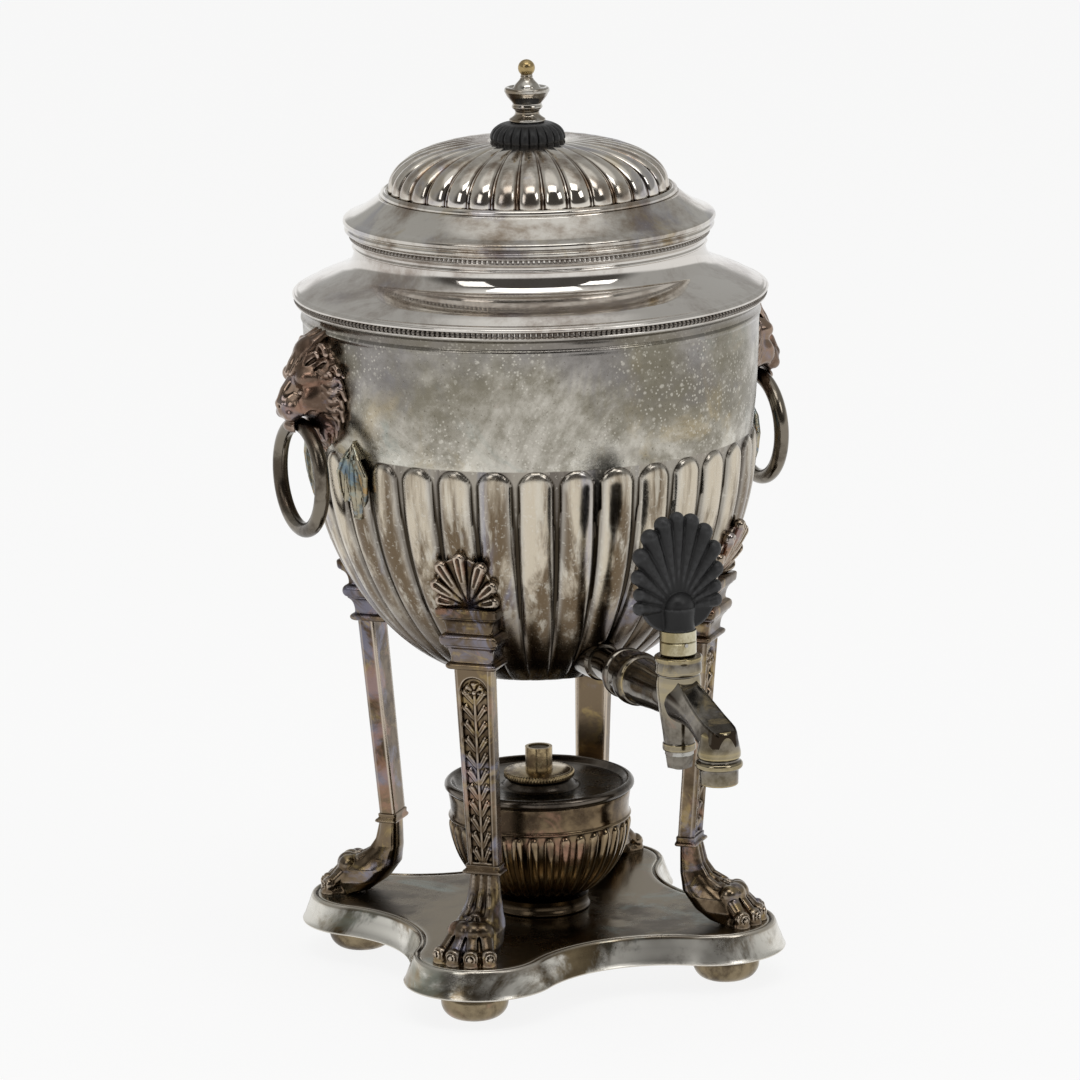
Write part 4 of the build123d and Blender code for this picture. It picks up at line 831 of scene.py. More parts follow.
finial_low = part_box("finial")[0][2] / mm
finial_line = softened(raised(finial_low, [
    (1.7, 0), (7.1, 0), (7.8, 0.7), (7.7, 1.5), (6.5, 2.2), (5.4, 3.2, 0.8), (5.1, 4.4, 0.8), (5.7, 5.6, 0.5),
    (6.3, 5.9, 0.3), (6.7, 6.7), (6.3, 7.6), (6.2, 8.2, 0.4), (7.3, 9.6, 0.6), (8.6, 11.2, 0.8), (9.3, 12.6),
    (9.75, 13.3), (9.6, 14.6), (8.9, 15.1), (7.9, 15.0), (7.2, 14.5), (5.9, 14.7), (5.2, 16.0, 0.8),
    (3.9, 17.3, 0.8),
    (3.1, 18.2), (2.9, 18.7), (2.5, 19.0), (2.75, 19.6), (2.45, 20.1), (2.55, 20.57), (0.02, 20.57),
]), 0.4, 4)
turned("finial_turning", finial_line, finial_bronze, "lid", 96, replaces=("finial",), slot="finial_bronze")

ball_low, ball_high = (corner[2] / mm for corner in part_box("finial_ball"))
ball_middle = ball_high - 3.65
ball_line = [(3.65 * sin(turn), ball_middle - 3.65 * cos(turn)) for turn in np.linspace(0.78, pi, 24)]
turned(
    "finial_ball_top", [(2.4, ball_low), *ball_line], ball_brass, "lid", 64, replaces=("finial_ball",),
    slot="finial_bronze"
)


# Modelling in clay: lumps blended on a fine grid, then skinned

class Clay:
    """A form built from lumps and cuts on a grid, as distances in millimetres: under 0 is inside."""

    def __init__(self, low, high, cell):
        self.low = np.array(low, dtype=np.float64)
        self.cell = cell
        self.just_outside = 0.3 * cell
        self.shape = np.ceil((np.array(high) - self.low) / cell).astype(int) + 1
        self.field = np.full(self.shape, 8.0, dtype=np.float32)

    def window(self, low, high):
        """The slices of the grid that hold a box, and the places along each axis."""
        first = np.clip(np.floor((np.array(low) - self.low) / self.cell).astype(int), 0, self.shape - 1)
        last = np.clip(np.ceil((np.array(high) - self.low) / self.cell).astype(int) + 1, 1, self.shape)
        spans = tuple(slice(a, b) for a, b in zip(first, last))
        places = [
            (start + self.cell * np.arange(a, b)).astype(np.float32)
            for start, a, b in zip(self.low, first, last)
        ]
        return spans, places[0][:, None, None], places[1][None, :, None], places[2][None, None, :]

    def blend(self, spans, lump, soft, cut):
        """A lump added to the clay, or cut from it, with a soft join."""
        here = self.field[spans]
        if 0 in here.shape:
            return
        other = -lump if cut else lump
        sign = -1.0 if cut else 1.0
        share = np.clip(0.5 + sign * 0.5 * (here - other) / soft, 0, 1)
        self.field[spans] = here * (1 - share) + other * share - sign * soft * share * (1 - share)

    def ball(self, centre, radii, soft, cut=False):
        """An ellipsoid with its own radius along each axis, added or cut."""
        centre, radii = np.array(centre, dtype=float), np.array(radii, dtype=float)
        reach = radii.max() + soft + 1
        spans, x, y, z = self.window(centre - reach, centre + reach)
        x, y, z = x - centre[0], y - centre[1], z - centre[2]
        near = np.sqrt((x / radii[0]) ** 2 + (y / radii[1]) ** 2 + (z / radii[2]) ** 2)
        slope = np.sqrt((x / radii[0] ** 2) ** 2 + (y / radii[1] ** 2) ** 2 + (z / radii[2] ** 2) ** 2) + 1e-6
        self.blend(spans, near * (near - 1) / slope, soft, cut)

    def strand(self, points, radii, soft, cut=False):
        """A round rope through points, whose radii are spread evenly along it, added or cut."""
        points = [np.array(point, dtype=float) for point in points]
        if len(radii) < len(points):
            radii = np.interp(np.linspace(0, 1, len(points)), np.linspace(0, 1, len(radii)), radii)
        reach = max(radii) * 1.1 + soft + 1
        spans, x, y, z = self.window(np.min(points, axis=0) - reach, np.max(points, axis=0) + reach)
        rope = None
        for start, end, first, last in zip(points, points[1:], radii, radii[1:]):
            line = end - start
            length = line @ line + 1e-9
            along = ((x - start[0]) * line[0] + (y - start[1]) * line[1] + (z - start[2]) * line[2]) / length
            along = np.clip(along, 0, 1)
            dx, dy, dz = [spot - begin - along * step for spot, begin, step in zip((x, y, z), start, line)]
            radius = first + (last - first) * along
            lump = np.sqrt(dx ** 2 + dy ** 2 + dz ** 2) - radius
            rope = lump if rope is None else np.minimum(rope, lump)
        self.blend(spans, rope, soft, cut)

    def shape_by(self, low, high, rule, soft, cut=False):
        """A lump or a cut from a rule that gives the distance at x, y, z."""
        spans, x, y, z = self.window(low, high)
        self.blend(spans, np.asarray(rule(x, y, z), dtype=np.float32), soft, cut)

    def without_crumbs(self):
        """The clay with only what hangs together with its thickest part."""
        inside = self.field < 0
        held = np.zeros_like(inside)
        held[np.unravel_index(self.field.argmin(), held.shape)] = True
        count = 0
        while held.sum() != count:
            count = held.sum()
            for _ in range(6):
                grown = held.copy()
                grown[1:] |= held[:-1]
                grown[:-1] |= held[1:]
                grown[:, 1:] |= held[:, :-1]
                grown[:, :-1] |= held[:, 1:]
                grown[:, :, 1:] |= held[:, :, :-1]
                grown[:, :, :-1] |= held[:, :, 1:]
                held = grown & inside
        self.field[inside & ~held] = self.just_outside
        return self

    def skin(self):
        """The points and the four-sided faces of the surface."""
        field = self.field
        for axis in range(3):
            for edge in (0, -1):
                rim = [slice(None)] * 3
                rim[axis] = edge
                field[tuple(rim)] = np.maximum(field[tuple(rim)], self.just_outside)
        inside = field < 0
        corners = [(i, j, k) for i in (0, 1) for j in (0, 1) for k in (0, 1)]
        size = self.shape - 1
        held = sum(inside[i:i + size[0], j:j + size[1], k:k + size[2]].astype(np.int8) for i, j, k in corners)
        active = (held > 0) & (held < 8)
        cells = np.argwhere(active)
        number = np.full(active.shape, -1, dtype=np.int64)
        number[active] = np.arange(len(cells))
        values = [field[tuple((cells + corner).T)] for corner in corners]
        total, count = np.zeros((len(cells), 3)), np.zeros(len(cells))
        for a, first in enumerate(corners):
            for b, second in enumerate(corners):
                if b > a and sum(abs(m - n) for m, n in zip(first, second)) == 1:
                    crossing = (values[a] < 0) != (values[b] < 0)
                    part = np.where(crossing, values[a] / np.where(crossing, values[a] - values[b], 1), 0)
                    spot = np.array(first) + part[:, None] * (np.array(second) - first)
                    total += spot * crossing[:, None]
                    count += crossing
        points = self.low + (cells + total / count[:, None]) * self.cell
        faces = []
        for axis in range(3):
            after, last = (axis + 1) % 3, (axis + 2) % 3
            ahead = [slice(None)] * 3
            ahead[axis] = slice(1, None)
            behind = [slice(None)] * 3
            behind[axis] = slice(None, -1)
            change = inside[tuple(behind)] != inside[tuple(ahead)]
            edges = np.argwhere(change)
            edges = edges[(edges[:, after] > 0) & (edges[:, last] > 0)]
            edges = edges[(edges[:, after] < size[after]) & (edges[:, last] < size[last])]
            ring = []
            for back_after, back_last in ((1, 1), (0, 1), (0, 0), (1, 0)):
                spot = edges.copy()
                spot[:, after] -= back_after
                spot[:, last] -= back_last
                ring.append(number[tuple(spot.T)])
            quads = np.stack(ring, axis=-1)
            outward = inside[tuple(edges.T)]
            faces.append(np.where(outward[:, None], quads, quads[:, ::-1]))
        return points, np.concatenate(faces)


def spun(points, degrees):
    """Points turned about the urn's axis."""
    angle = radians(degrees)
    turn = np.array([[cos(angle), -sin(angle), 0], [sin(angle), cos(angle), 0], [0, 0, 1]])
    return points @ turn.T


def bowl_reach(z):
    """Radius of the bowl's outside at a height, over its lobes."""
    drop = np.clip((lobe_top - z) / bowl_depth, 0, 0.98)
    lower = bowl_radius * np.sqrt(1 - drop ** 2)
    upper = np.interp(z, [lobe_top + rise for _, rise in wall_line[:6]], [r for r, _ in wall_line[:6]])
    return np.where(z > lobe_top, upper, lower)


# Lion masks

ring_reach, ring_hinge, ring_size, ring_wire = 109.0, bowl_low + 115.5, 22.75, 3.25
mask_level = bowl_low + 128.5


def mask_clay():
    """The lion's head on the +X side, looking outward."""
    level = mask_level
    low, high = (91, -24, level - 27), (121.5, 24, level + 30)
    clay = Clay(low, high, 0.42)
    clay.ball((97, 0, level + 1), (10.5, 17.5, 23), 1)
    clay.ball((102, 0, level + 1.5), (10.5, 13.5, 16), 2)
    clay.ball((105, 0, level + 10), (8.0, 9.5, 8.5), 2)
    clay.ball((102.5, 0, level + 16.5), (8.2, 8.6, 8.4), 2)
    for side in (-1, 1):
        clay.ball((107.6, side * 6.6, level + 8.2), (5.6, 5.2, 4.4), 1.6)
        clay.ball((106.4, side * 8.8, level - 1.5), (6.4, 4.6, 6.6), 1.8)
    clay.ball((110.6, 0, level - 5), (8.2, 8.2, 6.8), 2.2)
    clay.strand([(111.5, 0, level + 6), (114.6, 0, level + 2), (116.6, 0, level - 2.4)], [3.0, 2.9, 2.7], 1.6)
    clay.ball((117.2, 0, level - 3.4), (2.4, 4.0, 2.2), 0.8)
    clay.ball((111.6, 0, level - 13.2), (4.4, 5.4, 3.0), 1.2)
    hair = [(111.5, 3.2, 13.5), (108.6, 5.4, 17.4), (104.0, 7.4, 20.8), (98.5, 8.8, 23.6)]
    for side in (-1, 1):
        clay.ball((114.2, side * 3.7, level - 7.4), (3.7, 3.7, 3.1), 0.8)
        clay.ball((119.0, side * 1.7, level - 3.9), (1.1, 0.8, 0.7), 0.4, cut=True)
        clay.strand(
            [(118.2, 0, level - 10.2), (114.5, side * 5.2, level - 11.0), (110.5, side * 8.6, level - 9.4)],
            [0.55, 0.7, 0.9], 0.5, cut=True,
        )
        clay.ball((112.6, side * 7.2, level + 2.0), (2.3, 2.6, 1.9), 1.4, cut=True)
        clay.ball((110.7, side * 6.9, level + 2.0), (1.7, 1.8, 1.25), 0.3)
        for fall in (0.0, 3.6, 7.2):
            clay.strand(
                [(x - 0.25 * fall, side * (y + 0.45 * fall), level + z - fall) for x, y, z in hair],
                [0.4, 0.8, 0.9, 0.7], 0.5, cut=True,
            )
    forelock = [(98, 0, 26.0), (103.5, 0, 23.5), (108.2, 0, 18.5), (111.8, 0, 13.4), (114.2, 0, 9.6)]
    for offset, size in ((-2.7, 0.85), (0, 1), (2.7, 0.85)):
        locks = [(x - 0.25 * abs(offset), y + offset * (0.55 + 0.03 * z), level + z) for x, y, z in forelock]
        clay.strand(locks, [1.5 * size, 1.9 * size, 1.9 * size, 1.7 * size, 1.1 * size], 0.3)
    for side in (-1, 1):
        locks = [(98, 4.2, 25.6), (103.2, 4.8, 22.4), (107, 5.0, 17.0), (109.4, 5.6, 12.6)]
        clay.strand([(x, side * y, level + z) for x, y, z in locks], [1.8, 2.0, 1.8, 1.1], 0.4)
        for swing, size in ((0, 3.9), (1, 3.2)):
            middle_y, middle_z = side * (9.6 + 6.2 * swing), level + 18.6 - 7.6 * swing
            curl = []
            for turn in np.linspace(0, 4.6 * pi / 2, 14):
                far = size - 0.42 * turn
                across, rise = middle_y + side * far * cos(turn) * 0.9, middle_z + far * sin(turn)
                curl.append((101.6 - 3.2 * swing + 0.5 * turn, across, rise))
            clay.strand(curl, [1.5, 0.8], 0.3)
    locks_each_side = 11
    for side in (-1, 1):
        for lock in range(locks_each_side):
            start = radians(52 + 11.5 * lock)
            strand = []
            for step in np.linspace(0, 1, 6):
                swing = start + 0.34 * step + 0.10 * sin(step * 2 * pi)
                out = 13.2 + (7.0 - 1.4 * (lock % 2)) * step
                tall = 15.0 + 9.5 * step
                across, rise = side * out * sin(swing), level + 1.5 + tall * cos(swing)
                lift = 5.6 * (1 - step) ** 1.3 + 1.0
                strand.append((sqrt(max(0, 97.2 ** 2 - across ** 2)) + lift, across, rise))
            clay.strand(strand, [1.75, 1.9, 0.75], 0.35)
            middle = [(x + 1.35, y, z - 0.2) for x, y, z in strand[1:-1]]
            clay.strand(middle, [0.3, 0.42, 0.3], 0.3, cut=True)
    for lock in range(-3, 4):
        drop = [
            (103.6 - abs(lock) * 0.5, lock * 2.9, level - 13), (101.2, lock * 3.2, level - 18),
            (98.4, lock * 2.4, level - 22.5 + abs(lock) * 0.8),
            (97.2, lock * 1.5, level - 25.6 + abs(lock) * 1.3),
        ]
        clay.strand(drop, [1.9, 1.8, 1.4, 0.6], 0.35)

    def channel(x, y, z):
        upright = np.sqrt(ring_size ** 2 - np.minimum(np.abs(y), 14.5) ** 2)
        slanted_wire = ring_wire * ring_size / upright
        return np.sqrt(
            (x - ring_reach) ** 2 + (z - ring_hinge) ** 2
        ) - (slanted_wire + 0.5 + ring_size - upright)

    for side in (-1, 1):
        clay.strand(
            [(ring_reach + 5.6 * cos(turn), side * (10.3 - 0.22 * abs(turn)), ring_hinge + 5.4 * sin(turn))
             for turn in np.linspace(-0.3, 3.6, 12)],
            [0.9, 1.2, 0.9], 0.8,
        )
    clay.shape_by((91, -20, ring_hinge - 16), (121.5, 20, ring_hinge + 16), channel, 0.35, cut=True)
    clay.shape_by(low, high, lambda x, y, z: np.sqrt(x ** 2 + y ** 2) - bowl_reach(z) + 0.25, 0.1, cut=True)
    return clay.without_crumbs().skin()


mask_points, mask_faces = mask_clay()
mask_hollows = hollow_values(mask_points, mask_faces, 7)
for name, turn_by in (("lion_mask_right", 0), ("lion_mask_left", 180)):
    make_piece(
        name.replace("mask", "head"), spun(mask_points, turn_by), mask_faces, mask_bronze, "stand_and_bowl",
        replaces=(name,), slot="mask_bronze", crease=75, values={"hollow": mask_hollows},
    )


# Leaves beside the masks

def leaf_clay():
    """A pointed leaf with three ribs, lying over the lobes on the +X side."""
    tip, foot = lobe_top + 6.5, lobe_top - 24
    clay = Clay((70, -13, foot - 3), (104, 13, tip + 2), 0.45)

    def sheet(x, y, z):
        half = np.interp(z, [foot, foot + 7, tip - 13, tip], [2.5, 8.0, 9.6, 0.2])
        face = np.abs(np.sqrt(x ** 2 + y ** 2) - bowl_reach(z) - 0.4) - 1.0
        return np.maximum(face, (np.abs(y) - half) * 0.8)

    clay.shape_by((70, -13, foot - 2), (104, 13, tip + 1), sheet, 0.3)

    def along(path, lift):
        return [(sqrt(float(bowl_reach(tip - fall)) ** 2 - y ** 2) + lift, y, tip - fall) for y, fall in path]

    for side in (-1, 1):
        edge = [(0, 0.8), (side * 4.8, 6.5), (side * 8.8, 13), (side * 8.2, 21), (side * 6.6, 26)]
        clay.strand(along(edge, 1.2), [0.7, 1.2, 1.4, 1.1, 0.5], 0.5)
        gap = [(side * 3.4, 11), (side * 4.4, 18), (side * 4.3, 31)]
        clay.strand(along(gap, 1.6), [0.7, 1.5, 2.2], 0.5, cut=True)
    clay.strand(along([(0, 1), (0, 12), (0, 22), (0, 30)], 1.4), [0.8, 1.4, 1.4, 0.5], 0.5)
    return clay.skin()


leaf_points, leaf_faces = leaf_clay()
leaf_hollows = hollow_values(leaf_points, leaf_faces, 6)
for number, turn_by in enumerate((-13.3, 13.3, 166.7, 193.3)):
    make_piece(
        f"mask_leaf_{number}", spun(leaf_points, turn_by), leaf_faces, leaf_tarnish, "stand_and_bowl",
        crease=75, values={"hollow": leaf_hollows},
    )


# Base plate

corner_offset, corner_radius, side_reach = 55.0, 29.4, 65.1


def plate_edge():
    """Points round the incurved square, and which way is outward at each."""
    per_arc = 44
    inset = side_reach - corner_offset
    hollow = (corner_offset ** 2 + inset ** 2 - corner_radius ** 2) / (2 * (corner_radius - inset))
    middle = side_reach + hollow
    reach = atan2(corner_offset, middle - corner_offset)
    side = np.linspace(reach, -reach, per_arc, endpoint=False)
    side_facing = np.stack([-np.sin(side), np.cos(side)], axis=-1)
    side_spots = np.array([0, middle]) - hollow * side_facing
    corner = np.linspace(pi / 2 - reach, pi + reach, per_arc, endpoint=False)
    corner_facing = np.stack([np.cos(corner), np.sin(corner)], axis=-1)
    corner_spots = np.array([-corner_offset, corner_offset]) + corner_radius * corner_facing
    spots, facings = [], []
    for quarter in range(4):
        swing = quarter * pi / 2
        turn_by = np.array([[cos(swing), -sin(swing)], [sin(swing), cos(swing)]])
        spots += [side_spots @ turn_by.T, corner_spots @ turn_by.T]
        facings += [side_facing @ turn_by.T, corner_facing @ turn_by.T]
    return np.concatenate(spots), np.concatenate(facings)


def plate_piece():
    """The pressed plate: a lip line near its edge, and a flared skirt with a rolled foot."""
    spots, facings = plate_edge()
    plate_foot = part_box("base_plate")[0][2] / mm
    profile = [
        (-6.5, plate_top - 0.22), (-4.4, plate_top - 0.24), (-3.7, plate_top - 0.32),
        (-3.2, plate_top - 0.85),
        (-2.8, plate_top - 0.9), (-2.45, plate_top - 0.4), (-2.1, plate_top - 0.04), (-1.6, plate_top),
        (-1.15, plate_top - 0.14), (-0.75, plate_top - 0.6), (-0.45, plate_top - 1.3), (0.0, plate_top - 2.6),
        (0.75, plate_top - 4.8), (1.7, plate_top - 7.2), (2.7, plate_foot + 2.2), (3.3, plate_foot + 1.0),
        (3.6, plate_foot + 0.6), (3.5, plate_foot + 0.12), (3.1, plate_foot), (2.2, plate_foot + 0.05),
        (1.7, plate_foot + 0.5), (-0.8, plate_top - 4.5),
        (-2.2, plate_top - 2.1), (-6.5, plate_top - 1.9),
    ]
    rows = [np.column_stack([(spots - facings * 6.5) * share, np.full(len(spots), plate_top - 0.22)])
            for share in (0.01, 0.2, 0.4, 0.6, 0.8)]
    rows += [np.column_stack([spots + facings * grow, np.full(len(spots), level)]) for grow, level in profile]
    rows += [np.column_stack([(spots - facings * 6.5) * share, np.full(len(spots), plate_top - 1.9)])
             for share in (0.7, 0.35, 0.01)]
    points = np.concatenate(rows[::-1])
    faces = grid_faces(len(rows), len(spots))
    make_piece(
        "plate_pressing", points, faces, plate_silver, "stand_and_bowl", replaces=("base_plate",),
        slot="plate_silver", values={"hollow": hollow_values(points, faces, 4)},
    )


plate_piece()


# Legs, each pointing along +X and then turned to its place

strip_low, strip_top = plate_top + 35.5, plate_top + 125.0
capital_top = strip_top + 28.0
places = {"front_left": 225, "front_right": 315, "back_right": 45, "back_left": 135}


def strip_centre(level):
    """Distance of the leaning strip's centre from the urn's axis."""
    return 76.7 - 0.0847 * (strip_top - level)


def strip_half(level):
    """Half the strip's width, which tapers downward."""
    return 6.75 + 1.75 * (level - strip_low) / (strip_top - strip_low)


def rings_form(rows):
    """Points and faces of a form given as rings of equal length, closed at both ends."""
    rows = [np.asarray(row, dtype=float) for row in rows]
    ends = [row.mean(axis=0) + (row - row.mean(axis=0)) * 0.01 for row in (rows[0], rows[-1])]
    rows = [ends[0], *rows, ends[1]]
    return np.concatenate(rows), grid_faces(len(rows), len(rows[0]))


def rounded_box(low_x, high_x, half, radius, level):
    """A ring of points round a level rectangle with round corners."""
    cuts = 5
    ring = []
    for side_x, side_y, start in ((high_x - radius, half - radius, 0), (low_x + radius, half - radius, 90),
                                  (low_x + radius, radius - half, 180),
                                  (high_x - radius, radius - half, 270)):
        for turn in np.linspace(start, start + 90, cuts):
            ring.append((side_x + radius * cos(radians(turn)), side_y + radius * sin(radians(turn)), level))
    filled = []
    for first, last in zip(ring, ring[1:] + ring[:1]):
        first, last = np.array(first), np.array(last)
        steps = 12 if np.hypot(*(last - first)[:2]) > 4.05 else 1
        filled += [tuple(first + (last - first) * step / steps) for step in range(steps)]
    return filled


def strip_relief(across, level):
    """How far the strip's carved face stands out at places across it and up it."""
    half = strip_half(level)
    panel = half - 2.5
    edge = half - np.abs(across)
    arch = strip_top - 3.6 - panel
    over = np.hypot(across, np.maximum(level - arch, 0)) - panel
    over = np.maximum(over, strip_low + 3.2 - level)
    sunk = np.clip(0.5 - over / 0.7, 0, 1)
    face = 0.5 * np.exp(-((edge - 1.5) / 0.55) ** 2) - 0.9 * (1 - np.clip(edge / 0.9, 0, 1)) ** 2
    face = face - 1.5 * sunk * sunk * (3 - 2 * sunk)
    carving = 1.1 * np.sqrt(np.clip(1 - (across / 0.8) ** 2, 0, 1)) * (level < arch - 0.5)
    pitch = 7.2
    lean = np.arcsin(np.clip((panel - 1.3) / 7.6, 0, 1))
    off = np.abs(across) - 0.4
    for leaf in range(11):
        root = strip_low + 2.0 + pitch * leaf
        along = (off * np.sin(lean) + (level - root) * np.cos(lean)) / 7.8
        beside = off * np.cos(lean) - (level - root) * np.sin(lean)
        wide = 0.7 + 1.0 * np.clip(along, 0, 1) ** 0.8
        blade = np.sqrt(np.clip(1 - (beside / wide) ** 2, 0, 1)) * (along > 0) * (along < 1.06)
        swell = (0.7 + 1.5 * np.clip(along, 0, 1) ** 1.4) * np.sqrt(np.clip((1.06 - along) / 0.22, 0, 1))
        vein = 0.35 * np.exp(-(beside / 0.3) ** 2) * np.clip(along * 3, 0, 1)
        carving = np.maximum(carving, (blade * swell - vein * blade) * (off > 0))
    turn = np.arctan2(across, level - (arch - 0.8))
    far = np.hypot(across, level - (arch - 0.8))
    petals = np.abs(np.cos(turn * 3.5)) ** 0.6 * np.clip((5.0 - far) / 1.2, 0, 1) ** 0.5 * (np.abs(turn) < 1.9)
    carving = np.maximum(carving, petals * (0.5 + 0.32 * np.minimum(far, 5.0)))
    bud = np.sqrt(np.clip(1 - (far / 1.3) ** 2, 0, 1)) * 1.9
    return face + np.maximum(carving, bud) * sunk


def strip_form():
    """The tapering strip, with its border, sunk panel, stem, leaves and flower."""
    levels = np.arange(strip_low - 1.5, strip_top + 1.0, 0.36)
    share = np.linspace(-1, 1, 53)
    rows = []
    for level in levels:
        across = share * strip_half(level)
        front = strip_centre(level) + 3.5 + strip_relief(across, np.full_like(across, level))
        face = [(reach, side, level) for reach, side in zip(front, across)]
        back, half = strip_centre(level) - 3.5, strip_half(level)
        side = [(reach, half, level) for reach in np.linspace(front[-1], back + 0.6, 10)[1:]]
        rear = [(back, across, level) for across in np.linspace(half - 0.6, 0.6 - half, 12)]
        rows.append(face + side + rear + [(reach, -across, level) for reach, across, _ in side[::-1]])
    return rings_form(rows)


def capital_form():
    """The capital's three bands, with hollows between them."""
    moulding = [
        (0.0, 0.3), (0.3, 1.7), (0.8, 2.5), (1.7, 2.9), (2.6, 2.7), (3.2, 1.9), (3.5, 1.1), (4.2, 0.9),
        (5.6, 0.9),
        (7.2, 1.1), (8.6, 1.5), (9.8, 2.2), (10.6, 3.0), (11.1, 3.0), (11.4, 3.7), (12.4, 4.3), (13.8, 4.5),
        (15.2, 4.2),
        (16.1, 3.4), (16.5, 2.4), (17.1, 2.0), (18.4, 2.0), (20.0, 2.2), (21.4, 2.7), (22.6, 3.5),
        (23.1, 4.2), (23.5, 4.2),
        (23.8, 4.9), (24.6, 5.3), (27.2, 5.4), (27.8, 5.1), (28.0, 4.6),
    ]
    rows = []
    for rise, proud in softened(moulding, 0.5, 2):
        level = strip_top + rise
        face = strip_centre(level) + 3.5 + proud
        back = max(66.0, float(bowl_reach(level)) - 2.4)
        rows.append(rounded_box(back, face, 8.5 + proud, 1.4, level))
    return rings_form(rows)


def collar_form():
    """The collar between strip and ankle, with its rounded lip."""
    low, high = strip_centre(strip_low) - 3.7, strip_centre(strip_low) + 3.5
    moulding = [(-2.0, 0.2), (-1.9, 1.5), (-1.5, 2.0), (-1.0, 2.05), (-0.5, 1.7), (-0.2, 1.1), (0.5, 0.75),
                (1.3, 0.9), (1.8, 0.9), (2.1, 0.4), (2.2, -0.3)]
    return rings_form([
        rounded_box(low - 0.3 * grow, high + grow, 6.8 + grow, 1.2, strip_low + rise)
        for rise, grow in moulding
    ])


def paw_form():
    """The lion's paw and ankle: tendons, four toes with knuckles and curled claws."""
    ground = plate_top - 0.3
    clay = Clay((62, -17, ground - 0.6), (104.5, 17, strip_low - 0.6), 0.42)

    def ankle(x, y, z):
        back = np.interp(z, ground + np.array([0, 2.3, 6.8, 14, 22, 36]), [86, 78.5, 72.3, 66.8, 65.6, 65.7])
        front = np.interp(
            z, ground + np.array([0, 6, 12, 16.5, 21, 28, 36]), [95, 95, 91, 83, 77.2, 74.6, 73.4]
        )
        half = np.interp(z, ground + np.array([0, 6, 12, 17, 23, 36]), [10, 11.5, 11, 8.8, 7.2, 6.1])
        middle, depth = (back + front) / 2, (front - back) / 2
        reach = (np.abs((x - middle) / depth) ** 3 + np.abs(y / half) ** 3) ** (1 / 3)
        return (reach - 1) * np.minimum(depth, half) * 0.8

    clay.shape_by((62, -17, ground), (104.5, 17, strip_low), ankle, 0.5)
    for across in (-3.7, 0.0, 3.7):
        tendon = [
            (73.6, across * 0.9, ground + 33), (74.8, across, ground + 25),
            (78.0, across * 1.25, ground + 19.5), (83.0, across * 1.5, ground + 16),
        ]
        clay.strand(tendon, [0.7, 1.3, 1.7, 2.2], 1.0)
        if across:
            groove = [
                (75.2, across * 0.5, ground + 27), (77.6, across * 0.6, ground + 21),
                (83.0, across * 0.8, ground + 16.8)
            ]
            clay.strand(groove, [0.3, 0.8, 1.0], 0.7, cut=True)
    centre, up = np.array([80.7, 0, ground]), np.array([0, 0, 1.0])
    for swing in (-35, -12, 12, 35):
        forward = np.array([cos(radians(swing)), sin(radians(swing)), 0])
        wide = 5.0 if abs(swing) < 20 else 4.7
        clay.strand([centre + forward * 1.5 + up * 15.5, centre + forward * 6 + up * 13.8], [2.6, 3.6], 1.6)
        clay.ball(centre + forward * 9.6 + up * 12.6, (wide, wide, wide), 0.5)
        clay.strand([centre + forward * 11.5 + up * 9.5, centre + forward * 16.5 + up * 5.4], [3.9, 3.1], 0.5)
        claw = centre + forward * 18.6 + up * 4.1
        clay.ball(claw, (3.7, 3.7, 3.7), 0.3)
        side = np.array([-forward[1], forward[0], 0])
        front = claw + forward * 2.8
        for size in (2.6, 1.3):
            hoop = [front + (side * cos(turn) + up * sin(turn)) * size + forward * (0.7 - size * 0.42)
                    for turn in np.linspace(0, 2 * pi, 13)]
            clay.strand(hoop, [0.38, 0.38], 0.25, cut=True)
        clay.strand([centre + forward * 9 + up * 0.5, centre + forward * 18.6 + up * 0.5], [3.6, 3.9], 0.8)
    for swing in (-23.5, 0, 23.5):
        forward = np.array([cos(radians(swing)), sin(radians(swing)), 0])
        path = [(3.5, 18.0), (9.0, 15.8), (14.5, 9.5), (19.5, 5.0), (22.0, 0.5)]
        spots = [centre + forward * far + up * tall for far, tall in path]
        clay.strand(spots, [0.5, 0.9, 1.1, 1.0, 0.8], 0.5, cut=True)
    return clay.skin()


leg_forms = (strip_form(), capital_form(), collar_form(), paw_form())
leg_points, leg_faces = joined(*leg_forms)
leg_hollows = np.concatenate([
    hollow_values(spots, quads, rounds) * share
    for (spots, quads), rounds, share in zip(leg_forms, (5, 3, 3, 9), (1.0, 0.42, 0.42, 1.0))
])
for place, turn_by in places.items():
    make_piece(
        "leg_carving_" + place, spun(leg_points, turn_by), leg_faces, leg_bronze, "stand_and_bowl",
        replaces=("leg_" + place,), slot="leg_bronze", crease=50, values={"hollow": leg_hollows},
    )


